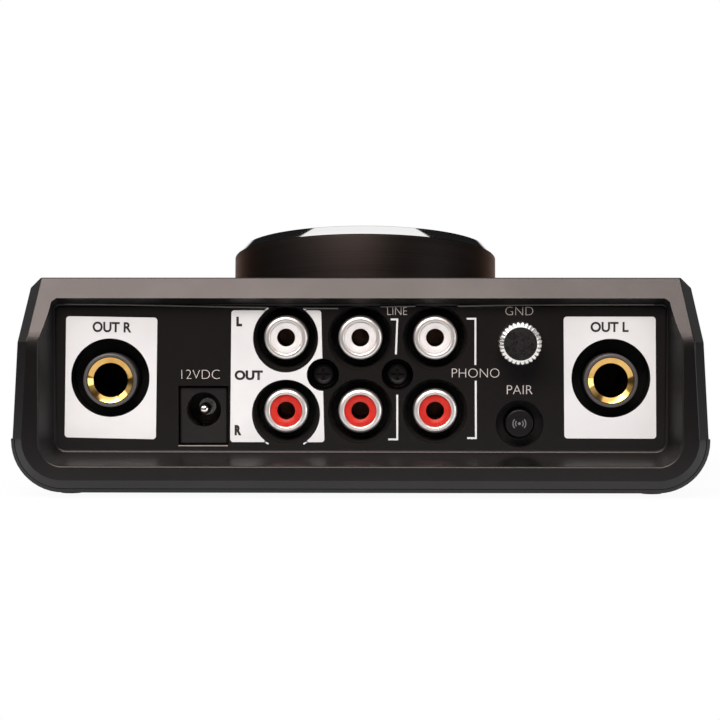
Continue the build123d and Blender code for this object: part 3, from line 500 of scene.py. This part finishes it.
def ink(name, dark, light, rough):
    """Printing ink, a little uneven where it was pressed on."""
    material, tree, skin = new_material(name)
    grain = put(tree, "ShaderNodeGroup", {"Grains per metre": 5000.0}, node_tree=mould_grain).outputs
    colour = tint(tree, grain["Patches"], dark, light)
    dull = ramp(tree, grain["Patches"], 0.0, 1.0, rough, rough + 0.06)
    dress(tree, skin, colour, dull, grain["Height"], 0.12)
    return material


white_ink = ink("white_ink", (0.65, 0.68, 0.698), (0.695, 0.725, 0.743), 0.42)
grey_ink = ink("grey_ink", (0.52, 0.49, 0.48), (0.6, 0.57, 0.56), 0.45)
black_ink = ink("black_ink", (0.006, 0.004, 0.004), (0.01, 0.007, 0.007), 0.5)


def sheet_of(form, outline, y0, y1):
    """Adds a flat sheet on the rear panel; its outline is (x, z) in mm."""
    rows = []
    for y in (y0, y1):
        rows.append([form.verts.new((x * MM, y * MM, z * MM)) for x, z in outline])
    form.faces.new(rows[0])
    form.faces.new(rows[1][::-1])
    count = len(outline)
    for index in range(count):
        following = (index + 1) % count
        form.faces.new((rows[0][index], rows[1][index], rows[1][following], rows[0][following]))


def carve(piece, form):
    """Cuts the shape being made out of a piece."""
    bmesh.ops.recalc_face_normals(form, faces=form.faces)
    cutter = new_object("cutter", mesh_of("cutter", form))
    bpy.context.view_layer.update()
    cut = piece.modifiers.new("cut", "BOOLEAN")
    cut.operation = "DIFFERENCE"
    cut.solver = "EXACT"
    cut.object = cutter
    depsgraph = bpy.context.evaluated_depsgraph_get()
    carved = bpy.data.meshes.new_from_object(piece.evaluated_get(depsgraph))
    piece.modifiers.remove(cut)
    piece.data = carved
    bpy.data.objects.remove(cutter)


def round_hole(x, z, half_width, half_height):
    """Shape of a round or oval hole through the printing, in mm."""
    form = bmesh.new()
    turns = [2 * pi * index / 128 for index in range(128)]
    outline = [(x + half_width * cos(angle), z + half_height * sin(angle)) for angle in turns]
    sheet_of(form, outline, PANEL_FACE - 0.5, PANEL_FACE + 0.5)
    return form


def label(name, corners, rounding, openings):
    """White printed field on the panel with round openings left bare."""
    form = bmesh.new()
    outline = eased([(x, z, rounding) for x, z in corners])
    sheet_of(form, outline, PANEL_FACE, PANEL_FACE + INK_THICKNESS)
    made = finished(name, form, white_ink, "chassis")
    for opening in openings:
        carve(made, round_hole(*opening))


JACK_WELL_Z = 22.2
JACK_WELL_RADIUS = 7.36
PANEL_SCREW_X = 6.95
PANEL_SCREW_Z = 22.8
PANEL_SCREW_WELL = 3.05
UPPER_OPENING = (13.95, 29.62, 6.1, 6.42)
LOWER_OPENING = (13.9, 15.47, 6.38, 6.4)
JACK_LABELS = {
    "right": [(55.03, 33.73), (37.94, 33.46), (38.3, 10.66), (55.43, 11.0)],
    "left": [(-37.94, 33.68), (-55.07, 33.68), (-55.3, 10.88), (-38.16, 10.92)],
}
for side, corners in JACK_LABELS.items():
    x = mounts[side + "_jack"][0] / MM
    label("label_out_" + side, corners, 0.6, [(x, JACK_WELL_Z, JACK_WELL_RADIUS, JACK_WELL_RADIUS)])
label(
    "label_outputs",
    [(24.08, 34.84), (7.3, 34.84), (6.7, 10.15), (24.36, 10.15)],
    0.55,
    [UPPER_OPENING, LOWER_OPENING, (PANEL_SCREW_X, PANEL_SCREW_Z, PANEL_SCREW_WELL, PANEL_SCREW_WELL)],
)


HORN_WIDTH = 0.3


def horn(name, x, z, half_width, half_height, start, end):
    """Short printed arc round a label's opening; angles in degrees from the viewer's right."""
    form = bmesh.new()
    outline = []
    for grow, first, last in ((0.0, start, end), (HORN_WIDTH, end, start)):
        for step in range(9):
            angle = radians(first + (last - first) * step / 8)
            across = (half_width + grow) * cos(angle)
            up = (half_height + grow) * sin(angle)
            outline.append((x - across, z + up))
    sheet_of(form, outline, PANEL_FACE, PANEL_FACE + INK_THICKNESS)
    finished(name, form, white_ink, "chassis")


horn("label_horn_upper_left", *UPPER_OPENING, 121, 129)
horn("label_horn_upper_right", *UPPER_OPENING, 51, 58)
horn("label_horn_lower_left", *LOWER_OPENING, 232, 240)
horn("label_horn_lower_right", *LOWER_OPENING, 300, 308)


LETTER_LIFT = 0.08


def legend(name, words, left, right, low, high, material, heavy=0.0, tilt=0.0):
    """Printed words that fill a box on the panel, in mm; left and right as the viewer sees them."""
    letters = bpy.data.curves.new(name, "FONT")
    letters.body = words
    letters.offset = heavy
    letters.resolution_u = 6
    letters.fill_mode = "FRONT"
    model = new_object(name, letters)
    bpy.context.view_layer.update()
    mesh = bpy.data.meshes.new_from_object(model.evaluated_get(bpy.context.evaluated_depsgraph_get()))
    bpy.data.objects.remove(model)
    wide = [vertex.co.x for vertex in mesh.vertices]
    tall = [vertex.co.y for vertex in mesh.vertices]
    stretch_x = (right - left) / (max(wide) - min(wide))
    stretch_z = (high - low) / (max(tall) - min(tall))
    middle_a = (max(wide) + min(wide)) / 2
    middle_b = (max(tall) + min(tall)) / 2
    for vertex in mesh.vertices:
        across = (vertex.co.x - middle_a) * stretch_x
        up = (vertex.co.y - middle_b) * stretch_z
        x = (left + right) / 2 + across * cos(tilt) - up * sin(tilt)
        z = (low + high) / 2 + across * sin(tilt) + up * cos(tilt)
        vertex.co = (x * MM, (PANEL_FACE + LETTER_LIFT) * MM, z * MM)
    mesh.materials.append(material)
    made = new_object(name, mesh)
    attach(made, "chassis")


legend("legend_out_right", "OUT R", 50.08, 42.79, 30.7, 32.67, black_ink, 0.03, radians(1.0))
legend("legend_out_left", "OUT L", -42.97, -50.06, 30.8, 32.72, black_ink, 0.03)
legend("legend_outputs_left", "L", 23.16, 22.08, 31.82, 33.64, black_ink, 0.07)
legend("legend_outputs", "OUT", 23.5, 18.21, 21.78, 23.61, black_ink, 0.045)
legend("legend_outputs_right", "R", 23.52, 22.25, 11.42, 13.36, black_ink, 0.07)
legend("legend_line", "LINE", -5.07, -8.75, 34.0, 35.44, grey_ink, -0.02)
legend("legend_phono", "PHONO", -17.13, -26.0, 22.3, 23.98, grey_ink, -0.022)
legend("legend_ground", "GND", -27.1, -32.26, 33.95, 35.5, grey_ink, -0.026)
legend("legend_power", "12VDC", 33.46, 26.3, 21.95, 23.7, grey_ink, -0.024)
legend("legend_pairing", "PAIR", -27.4, -32.2, 19.2, 20.85, grey_ink, -0.016)


BRACKET_WIDTH = 0.35
BRACKET_THICKNESS = 0.04


def bracket(name, points):
    """Printed line with square corners, in mm."""
    form = bmesh.new()
    half = BRACKET_WIDTH / 2
    sides = ([], [])
    for index, point in enumerate(points):
        here = Vector(point)
        before = (here - Vector(points[index - 1])).normalized() if index else None
        after = (Vector(points[index + 1]) - here).normalized() if index + 1 < len(points) else None
        ways = [way for way in (before, after) if way is not None]
        mean = sum(ways, Vector((0, 0))).normalized()
        across = Vector((-mean.y, mean.x)) * (half / mean.dot(ways[0]))
        sides[0].append(here + across)
        sides[1].append(here - across)
    sheet_of(form, sides[0] + sides[1][::-1], PANEL_FACE, PANEL_FACE + BRACKET_THICKNESS)
    finished(name, form, white_ink, "chassis")


bracket("bracket_line_upper", [(-5.7, 33.15), (-6.93, 33.15), (-6.67, 26.63)])
bracket("bracket_line_lower", [(-6.93, 19.07), (-6.93, 10.69), (-5.27, 10.69)])
bracket("bracket_phono_upper", [(-19.88, 33.28), (-21.51, 33.28), (-21.51, 24.66)])
bracket("bracket_phono_lower", [(-21.58, 21.69), (-21.64, 10.95), (-20.01, 10.95)])


# ---- phono sockets ------------------------------------------------------------------------
# Six nickel-plated shells with full round lips, pressed into a black block on the main board;
# each holds a white or red insulator dished round its hole, with a sprung contact inside.
def turn(form, profile, place=Matrix.Identity(4), count=96, closed=True, shape=None):
    """Adds a shape turned about the place's own Z; profile is (radius, height) in mm."""
    rings = []
    for radius, height in profile:
        ring = []
        for index in range(1 if radius < 1e-6 else count):
            angle = 2 * pi * index / count
            reach = shape(radius, height, angle) if shape else radius
            spot = Vector((reach * cos(angle), reach * sin(angle), height)) * MM
            ring.append(form.verts.new(place @ spot))
        rings.append(ring)
    pairs = list(zip(rings, rings[1:] + rings[:1])) if closed else list(zip(rings, rings[1:]))
    for one, two in pairs:
        for index in range(count):
            following = (index + 1) % count
            if len(one) == 1 and len(two) == 1:
                break
            if len(one) == 1:
                form.faces.new((one[0], two[index], two[following]))
            elif len(two) == 1:
                form.faces.new((one[index], two[0], one[following]))
            else:
                form.faces.new((one[index], two[index], two[following], one[following]))


def axis_of(mount):
    """Axis of a socket, where the frame has its mount."""
    x, _, z = mounts[mount]
    return seen_from_rear(x / MM, z / MM)


def socket_plastic(name, dark, light, rough):
    """Glossy coloured plastic with slight flow marks."""
    material, tree, skin = new_material(name)
    flow = {"Grains per metre": 1500.0, "Patches per metre": 500.0}
    grain = put(tree, "ShaderNodeGroup", flow, node_tree=mould_grain).outputs
    colour = tint(tree, grain["Patches"], dark, light)
    dull = ramp(tree, grain["Patches"], 0.0, 1.0, rough, rough + 0.08)
    dress(tree, skin, colour, dull, grain["Height"], 0.1, 0.00004)
    skin.inputs["Subsurface Weight"].default_value = 0.08
    skin.inputs["Subsurface Scale"].default_value = 0.001
    return material


socket_block = moulded(
    "socket_block_plastic", (0.006, 0.006, 0.006), (0.01, 0.01, 0.01), 0.5, 5000.0, 0.2, 0.35
)
paint(socket_block, "phono_block")
nickel = plated("nickel_plate", (0.78, 0.745, 0.72), (0.91, 0.885, 0.86), 0.17, 0.07, 400.0, 0.015)
satin_nickel = plated("satin_nickel", (0.85, 0.8, 0.77), (0.95, 0.92, 0.9), 0.38, 0.06, 400.0, 0.015)
shells = bmesh.new()
shell_profile = eased([
    (3.35, 46.0),
    (3.9, 46.0),
    (3.9, 50.8),
    (4.15, 50.8),
    (4.15, 58.8, 0.74),
    (2.98, 58.8, 0.34),
    (2.98, 58.1),
    (3.35, 58.1),
], 8)
for use in ("out", "line", "phono"):
    for side in ("left", "right"):
        turn(shells, shell_profile, axis_of(use + "_" + side + "_socket"), 128)
shells = finished("phono_shells_turned", shells, satin_nickel, "chassis")
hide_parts("phono_shells")

insulator_profile = eased([
    (2.04, 46.0),
    (3.35, 46.0),
    (3.35, 58.1),
    (2.96, 58.1),
    (2.96, 58.34, 0.08),
    (2.3, 58.34, 0.4),
    (1.69, 58.2, 0.08),
    (1.69, 56.95),
    (2.04, 56.95),
], 5)
white_insulator = socket_plastic("white_insulator", (0.69, 0.7, 0.71), (0.74, 0.75, 0.76), 0.36)
red_insulator = socket_plastic("red_insulator", (0.475, 0.011, 0.004), (0.55, 0.017, 0.007), 0.36)
for side, material, slot in (
    ("left", white_insulator, "white_plastic"),
    ("right", red_insulator, "red_plastic"),
):
    cores = bmesh.new()
    for use in ("out", "line", "phono"):
        turn(cores, insulator_profile, axis_of(use + "_" + side + "_socket"))
    cores = finished("phono_insulators_" + side + "_turned", cores, material, "chassis")
    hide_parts("phono_insulators_" + side)
# Painted shade: the phono contacts get a darkened bronze so that the bores read dark.
bore_shade_bronze = plated("bore_shade_bronze", (0.16, 0.1, 0.075), (0.28, 0.18, 0.135), 0.4, 0.15, 300.0)
paint(bore_shade_bronze, "phono_contacts")


# ---- panel screws -------------------------------------------------------------------------
# Two blackened steel screws with low heads and cross recesses. They sit at the bottom of
# their wells and are driven through the panel into the socket block.
screw_heads = bmesh.new()
head_profile = eased([
    (0.0, 44.5),
    (0.8, 44.5),
    (1.25, 45.6),
    (1.25, 54.5),
    (2.6, 54.5, 0.2),
    (2.6, 55.6, 0.3),
    (2.25, 55.75, 0.15),
    (1.9, 56.25, 0.3),
    (1.2, 56.4, 0.5),
    (0.0, 56.4),
], 5)
for x in (PANEL_SCREW_X, -PANEL_SCREW_X):
    turn(screw_heads, head_profile, seen_from_rear(x, PANEL_SCREW_Z), 64, closed=False)
black_oxide = plated("black_oxide", (0.04, 0.038, 0.037), (0.095, 0.09, 0.087), 0.26)
screw_heads = finished("panel_screws_turned", screw_heads, black_oxide, "chassis")
CROSS_REACH = 1.15
CROSS_HALF_WIDTH = 0.24
CROSS_FLOOR = 55.3
for x in (PANEL_SCREW_X, -PANEL_SCREW_X):
    for wide, tall in ((CROSS_REACH, CROSS_HALF_WIDTH), (CROSS_HALF_WIDTH, CROSS_REACH)):
        bar = bmesh.new()
        low = PANEL_SCREW_Z - tall
        high = PANEL_SCREW_Z + tall
        corners = [(x - wide, low), (x + wide, low), (x + wide, high), (x - wide, high)]
        sheet_of(bar, corners, CROSS_FLOOR, 57.0)
        carve(screw_heads, bar)
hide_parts("panel_screws")


# ---- jack sockets -------------------------------------------------------------------------
# Two quarter-inch sockets: a black moulded nose in a deep well, lined with a flared,
# gold-plated ferrule; bronze springs inside touch the plug's tip and ring.
nose_plastic = moulded("jack_nose_plastic", (0.06, 0.058, 0.058), (0.08, 0.077, 0.077), 0.4, 4200.0, 0.3)
paint(nose_plastic, "left_jack_body", "right_jack_body")
gold = plated("gold_plate", (0.64, 0.35, 0.09), (0.8, 0.5, 0.17), 0.1, 0.06, 350.0, 0.05)
ferrule_profile = eased([
    (3.2, 46.0),
    (4.4, 46.0),
    (4.4, 59.2, 0.08),
    (4.28, 59.35, 0.06),
    (3.2, 58.72, 0.12),
], 8)
for side in ("left", "right"):
    ferrule = bmesh.new()
    turn(ferrule, ferrule_profile, axis_of(side + "_jack"), 128)
    ferrule = finished(side + "_jack_ferrule_turned", ferrule, gold, "chassis")
    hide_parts(side + "_jack_ferrule")
spring_bronze = plated("spring_bronze", (0.5, 0.36, 0.2), (0.75, 0.57, 0.34), 0.34, 0.15, 300.0)
paint(spring_bronze, "left_jack_springs", "right_jack_springs")


# ---- power inlet --------------------------------------------------------------------------
# Square-shouldered black housing on the main board, with a round-nosed nickel pin
# and a leaf spring in its round bore; a pale bead under the panel's cut-out is a painted highlight on its
# lower edge.
inlet_plastic = moulded(
    "inlet_plastic", (0.006, 0.0055, 0.0053), (0.012, 0.0112, 0.011), 0.36, 2200.0, 1.0, 0.4
)
paint(inlet_plastic, "dc_jack_body")
PIN_RADIUS = 1.05
PIN_TIP = 57.5
PIN_SHOULDER_RADIUS = 1.6
PIN_SHOULDER = 48.3
pin = bmesh.new()
pin_profile = [
    (0.0, 46.1),
    (PIN_SHOULDER_RADIUS, 46.1),
    (PIN_SHOULDER_RADIUS, PIN_SHOULDER),
    (PIN_RADIUS, PIN_SHOULDER),
]
for step in range(12):
    angle = radians(90 * step / 12)
    pin_profile.append((PIN_RADIUS * cos(angle), PIN_TIP - PIN_RADIUS * (1 - sin(angle))))
pin_profile.append((0.0, PIN_TIP))
turn(pin, pin_profile, axis_of("power_inlet"), 64, closed=False)
pin = finished("dc_jack_pin_turned", pin, nickel, "chassis")
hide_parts("dc_jack_pin")
paint(spring_bronze, "dc_jack_spring")
# Painted highlight: a pale bead along the lower edge of the inlet's cut-out.
sill_painted_highlight = moulded("sill_painted_highlight_plastic", (0.2, 0.18, 0.17), (0.26, 0.235, 0.225), 0.35, 7000.0, 0.1)
SILL_Z = 9.42
sill = [(x, PANEL_FACE, SILL_Z) for x in (34.1, 29.4, 24.8)]
bead("power_inlet_sill", sill, 0.13, sill_painted_highlight)


# ---- ground terminal ----------------------------------------------------------------------
# Nickel-plated thumb screw with a knurled rim over a captive washer, in a tapped steel
# bracket; the earth wire's fork goes between washer and head.
HEAD_FOOT = 59.5
HEAD_FACE = 64.7
HEAD_TEETH = 28
TOOTH_DEPTH = 0.2


def knurl(radius, height, angle):
    """Radius of the thumb screw's head with rounded teeth in its rim."""
    if radius < 3.7 or height < HEAD_FOOT + 0.1:
        return radius
    tooth = abs(sin(HEAD_TEETH / 2 * angle))
    return radius - TOOTH_DEPTH * (1 - tooth) ** 1.6


thumb_profile = eased([
    (0.0, 49.5),
    (1.55, 49.5),
    (1.95, 49.9),
    (1.95, HEAD_FOOT),
    (3.7, HEAD_FOOT, 0.1),
    (4.0, 59.8, 0.2),
    (4.0, 63.9),
    (3.84, 64.1, 0.06),
    (3.08, HEAD_FACE, 0.08),
    (0.0, HEAD_FACE),
], 5)
knurled = bmesh.new()
turn(knurled, thumb_profile, axis_of("ground_terminal"), 12 * HEAD_TEETH, closed=False, shape=knurl)
thumb_screw = finished("ground_screw_knurled", knurled, nickel, "ground_screw", sharp=38.0)
screw_face = plated("screw_face", (0.03, 0.028, 0.029), (0.11, 0.105, 0.107), 0.24, 0.2, 900.0, 0.7)
thumb_screw.data.materials.append(screw_face)
for polygon in thumb_screw.data.polygons:
    if polygon.center.y > (HEAD_FACE - 0.01) * MM:
        polygon.material_index = 1
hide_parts("ground_screw")
washer_profile = eased([
    (2.02, PANEL_FACE),
    (3.6, PANEL_FACE),
    (3.6, 59.47, 0.12),
    (2.02, 59.47, 0.08),
], 4)
washer = bmesh.new()
turn(washer, washer_profile, axis_of("ground_terminal"))
washer = finished("ground_washer_turned", washer, nickel, "ground_washer")
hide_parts("ground_washer")
paint(zinc_steel, "ground_bracket")


# ---- pairing button -----------------------------------------------------------------------
# Small matt black plastic button in a round well of the panel, on the stem of a push switch
# and printed with a plain sign for a radio link.
button_plastic = moulded(
    "button_plastic", (0.004, 0.0038, 0.0037), (0.007, 0.0066, 0.0064), 0.4, 5200.0, 0.3, 0.22
)
pair_axis = seen_from_rear(-29.8, 13.6)
cap_profile = eased([
    (0.0, 48.6),
    (2.7, 48.6),
    (2.7, 52.2),
    (3.7, 52.2),
    (3.7, 53.5),
    (2.7, 53.5),
    (2.7, 58.0, 0.4),
    (2.0, 57.98, 2.0),
    (0.0, 57.9),
], 6)
cap = bmesh.new()
turn(cap, cap_profile, pair_axis, closed=False)
cap = finished("pair_button_cap", cap, button_plastic, "pair_button")
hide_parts("pair_button")
paint(button_plastic, "pair_plunger", "pair_switch")


def arc_sign(form, place, lift, x, y, radius, width, start=0, end=360):
    """Adds a printed arc; angles in degrees, sizes in mm, in the place's own X and Y."""
    count = 14
    rows = []
    for index in range(count + 1):
        angle = radians(start + (end - start) * index / count)
        for reach in (radius - width / 2, radius + width / 2):
            spot = Vector((x + reach * cos(angle), y + reach * sin(angle), lift)) * MM
            rows.append(form.verts.new(place @ spot))
    for index in range(count):
        a = index * 2
        form.faces.new((rows[a], rows[a + 1], rows[a + 3], rows[a + 2]))


PAIR_SIGN_LIFT = 58.01
sign = bmesh.new()
arc_sign(sign, pair_axis, PAIR_SIGN_LIFT, 0, 0, 0.14, 0.28)
for radius in (0.72, 1.2):
    arc_sign(sign, pair_axis, PAIR_SIGN_LIFT, 0, 0, radius, 0.2, -42, 42)
    arc_sign(sign, pair_axis, PAIR_SIGN_LIFT, 0, 0, radius, 0.2, 138, 222)
dim_ink = ink("dim_ink", (0.14, 0.15, 0.16), (0.19, 0.2, 0.21), 0.45)
finished("pair_button_sign", sign, dim_ink, "pair_button")


# ---- volume knob --------------------------------------------------------------------------
# Cup turned from aluminium and anodised black: its side is brushed round, its bevel is
# diamond-cut bright, and a white line is let into its face; a plastic hub grips the shaft.
TOP_SLOPE = radians(11.1)
TOP_Z = 29.175  # height of the sloping top in the middle of the case
on_top = Matrix((
    (1, 0, 0, 0),
    (0, cos(TOP_SLOPE), -sin(TOP_SLOPE), 0),
    (0, sin(TOP_SLOPE), cos(TOP_SLOPE), TOP_Z * MM),
    (0, 0, 0, 1),
))
turned_lines, given, result = new_effect(
    "turned_lines", {"Lines per metre": 9000.0, "Run": 1.5}, ["Height", "Streaks"]
)


def vector_maths(tree, operation, inputs):
    """Outputs of a sum, a length or the like of vectors."""
    return put(tree, "ShaderNodeVectorMath", inputs, operation=operation).outputs


part = parts_of(turned_lines, "Object")
flat = put(turned_lines, "ShaderNodeCombineXYZ", {0: part["X"], 1: part["Y"]}).outputs[0]
reach = vector_maths(turned_lines, "LENGTH", {0: flat})["Value"]
spoke = vector_maths(turned_lines, "NORMALIZE", {0: flat})["Vector"]
spoke = vector_maths(turned_lines, "SCALE", {0: spoke, "Scale": given["Run"]})["Vector"]
along = maths(turned_lines, "ADD", reach, part["Z"])
along = maths(turned_lines, "MULTIPLY", along, given["Lines per metre"])
along = put(turned_lines, "ShaderNodeCombineXYZ", {2: along}).outputs[0]
spot = vector_maths(turned_lines, "ADD", {0: spoke, 1: along})["Vector"]
fine = noise(turned_lines, spot, 1.0, 3.0, 0.7)
broad = noise(turned_lines, spot, 0.13, 2.0, 0.6)
turned_lines.links.new(fine, result.inputs["Height"])
turned_lines.links.new(ramp(turned_lines, broad, 0.3, 0.7), result.inputs["Streaks"])


def turned_metal(name, dark, light, rough, lines, depth, spread=0.08):
    """Metal with fine lines left by turning or brushing round its axis."""
    material, tree, skin = new_material(name)
    cut = put(tree, "ShaderNodeGroup", {"Lines per metre": lines}, node_tree=turned_lines).outputs
    colour = tint(tree, cut["Streaks"], dark, light)
    dull = ramp(tree, cut["Streaks"], 0.0, 1.0, rough, rough + spread)
    dress(tree, skin, colour, dull, cut["Height"], depth)
    skin.inputs["Metallic"].default_value = 1.0
    return material


knob_side = turned_metal(
    "knob_side", (0.0155, 0.0127, 0.0117), (0.0215, 0.0177, 0.0164), 0.42, 30000.0, 0.25, 0.04
)
knob_side.node_tree.nodes["Principled BSDF"].inputs["Specular Tint"].default_value = (0.75, 0.6, 0.55, 1)
knob_bevel = turned_metal("knob_bevel", (0.84, 0.83, 0.83), (0.9, 0.89, 0.885), 0.05, 20000.0, 0.03, 0.03)
knob_face = turned_metal("knob_face", (0.014, 0.012, 0.0115), (0.022, 0.0195, 0.0185), 0.32, 12000.0, 0.4)
KNOB_RADIUS = 27.2
KNOB_HEIGHT = 17.1
KNOB_GAP = 0.7
BEVEL_FOOT = 15.13
cup_profile = eased([
    (0.0, KNOB_HEIGHT),
    (25.0, KNOB_HEIGHT),
    (25.3, KNOB_HEIGHT, 0.2),
    (27.0, BEVEL_FOOT),
    (KNOB_RADIUS, 14.9, 0.3),
    (KNOB_RADIUS, KNOB_GAP, 0.3),
    (KNOB_RADIUS - 2.0, KNOB_GAP),
    (KNOB_RADIUS - 2.0, KNOB_HEIGHT - 3.0),
    (0.0, KNOB_HEIGHT - 3.0),
], 4)
cup = bmesh.new()
turn(cup, cup_profile, count=256, closed=False)
cup = finished("knob_cup", cup, knob_side, "volume_knob", on_top, 15.0)
cup.data.materials.append(knob_bevel)
cup.data.materials.append(knob_face)
for polygon in cup.data.polygons:
    middle = polygon.center
    reach = (middle.x ** 2 + middle.y ** 2) ** 0.5
    if middle.z > (KNOB_HEIGHT - 0.12) * MM:
        polygon.material_index = 2
    elif middle.z > BEVEL_FOOT * MM and reach > (KNOB_RADIUS - 2.0) * MM:
        polygon.material_index = 1
POINTER_SIZE = Vector((1.2, 6.0, 0.8)) * MM
POINTER_MIDDLE = Vector((0.0, 20.0, KNOB_HEIGHT)) * MM
pointer_slot = bmesh.new()
bmesh.ops.create_cube(pointer_slot, size=1.0)
for vertex in pointer_slot.verts:
    vertex.co = on_top @ (POINTER_MIDDLE + vertex.co * POINTER_SIZE)
carve(cup, pointer_slot)
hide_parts("knob_shell")
line_fill = socket_plastic("line_fill", (0.8, 0.79, 0.77), (0.86, 0.85, 0.83), 0.4)
paint(line_fill, "knob_pointer")
hub_plastic = moulded("hub_plastic", (0.02, 0.02, 0.02), (0.03, 0.03, 0.03), 0.5, 4000.0, 0.3)
paint(hub_plastic, "knob_hub", "pot_wiper", "pot_body")
paint(black_steel, "knob_set_screw")
paint(zinc_steel, "pot_shaft", "pot_bushing", "pot_nut", "pot_washer")


# ---- push buttons and lights of the top ---------------------------------------------------
# Four round buttons with a shallow dish, each over a push switch, with a plain printed sign
# below it and a clear light pipe above it that carries a small lamp's glow to the surface.
BUTTONS = {"phono": -16.0, "line": 0.0, "wireless": 16.0, "power": 40.0}
BUTTON_ROW = -42.0
dished_profile = eased([
    (0.0, -4.6),
    (4.5, -4.6),
    (4.5, -2.6),
    (3.5, -2.6),
    (3.5, 0.9, 0.4),
    (2.4, 0.86, 4.0),
    (0.0, 0.72),
], 6)
for name, x in BUTTONS.items():
    cap = bmesh.new()
    turn(cap, dished_profile, closed=False)
    place = on_top @ Matrix.Translation((x * MM, BUTTON_ROW * MM, 0))
    cap = finished(name + "_button_cap", cap, button_plastic, name + "_button", place)
    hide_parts(name + "_button")
    paint(button_plastic, name + "_plunger")
paint(button_plastic, "top_switches")

SIGN_LIFT = 0.03
SIGN_ROW = -50.0
STROKE = 0.3
signs = bmesh.new()
record_x = BUTTONS["phono"]
arc_sign(signs, on_top, SIGN_LIFT, record_x, SIGN_ROW, 1.9, STROKE)
arc_sign(signs, on_top, SIGN_LIFT, record_x, SIGN_ROW, 0.75, STROKE)
arc_sign(signs, on_top, SIGN_LIFT, record_x, SIGN_ROW, 1.3, 0.2, 20, 70)
for x in (-0.9, 0.9):
    arc_sign(signs, on_top, SIGN_LIFT, BUTTONS["line"] + x, SIGN_ROW, 1.2, STROKE)
wave_x = BUTTONS["wireless"]
wave_y = SIGN_ROW - 1.2
arc_sign(signs, on_top, SIGN_LIFT, wave_x, wave_y, 0.2, 0.4)
for radius in (1.1, 1.9, 2.7):
    arc_sign(signs, on_top, SIGN_LIFT, wave_x, wave_y, radius, STROKE, 45, 135)
power_x = BUTTONS["power"]
arc_sign(signs, on_top, SIGN_LIFT, power_x, SIGN_ROW - 0.2, 1.6, STROKE, 125, 415)
half = STROKE / 2
bar = [(power_x - half, 0.0), (power_x + half, 0.0), (power_x + half, 2.0), (power_x - half, 2.0)]
signs.faces.new([
    signs.verts.new(on_top @ (Vector((x, SIGN_ROW + y, SIGN_LIFT)) * MM)) for x, y in bar
])
finished("button_signs", signs, grey_ink, "chassis")

clear, tree, skin = new_material("clear_plastic")
grain = put(tree, "ShaderNodeGroup", {"Grains per metre": 2500.0}, node_tree=mould_grain).outputs
colour = tint(tree, grain["Patches"], (0.86, 0.88, 0.9), (0.93, 0.95, 0.97))
dress(tree, skin, colour, ramp(tree, grain["Patches"], 0.0, 1.0, 0.12, 0.22))
skin.inputs["Transmission Weight"].default_value = 0.85
skin.inputs["IOR"].default_value = 1.49
paint(clear, "light_pipes")
lamp_body = socket_plastic("lamp_body", (0.82, 0.78, 0.6), (0.9, 0.87, 0.72), 0.3)
paint(lamp_body, "lights")


# ---- circuit boards and their parts -------------------------------------------------------
# Green solder mask over copper tracks; capacitors, relays, chips,
# a cooled regulator, a screened radio module, and a grey ribbon between the two boards.
board, tree, skin = new_material("solder_mask")
here = put(tree, "ShaderNodeTexCoord").outputs["Object"]
squares = {"Vector": here, "Scale": 420.0, "Randomness": 0.35}
tracks = put(tree, "ShaderNodeTexVoronoi", squares, distance="MANHATTAN", feature="F1").outputs["Distance"]
tracks = ramp(tree, tracks, 0.28, 0.4)
colour = tint(tree, tracks, (0.02, 0.11, 0.045), (0.012, 0.06, 0.028))
dull = ramp(tree, noise(tree, here, 2400.0, 1.0), 0.3, 0.7, 0.22, 0.34)
dress(tree, skin, colour, dull, tracks, 0.3, 0.00003)
paint(board, "control_board", "main_board", "wireless_board")
can_metal = turned_metal("can_aluminium", (0.5, 0.5, 0.5), (0.66, 0.66, 0.65), 0.3, 3000.0, 0.1)
paint(can_metal, "electrolytic_capacitors", "heat_sink")
film_resin = socket_plastic("capacitor_film", (0.3, 0.02, 0.012), (0.38, 0.035, 0.02), 0.3)
paint(film_resin, "film_capacitors")
chip_resin = moulded("chip_resin", (0.012, 0.012, 0.013), (0.02, 0.02, 0.021), 0.55, 9000.0, 0.3)
paint(chip_resin, "relays", "amplifier_chips", "regulator", "ribbon_plugs")
paint(zinc_steel, "wireless_shield")
ribbon, tree, skin = new_material("grey_ribbon")
here = put(tree, "ShaderNodeTexCoord").outputs["Object"]
strands = put(tree, "ShaderNodeTexWave", {"Vector": here, "Scale": 250.0}, bands_direction="X").outputs["Fac"]
colour = tint(tree, strands, (0.3, 0.3, 0.32), (0.46, 0.46, 0.48))
dull = ramp(tree, noise(tree, here, 300.0), 0.3, 0.7, 0.4, 0.55)
dress(tree, skin, colour, dull, strands, 0.8, 0.0002)
paint(ribbon, "ribbon_cable")


# ---- sizes --------------------------------------------------------------------------------
# The finished model's box in metres, from the bounds of every shown piece.
low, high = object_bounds()
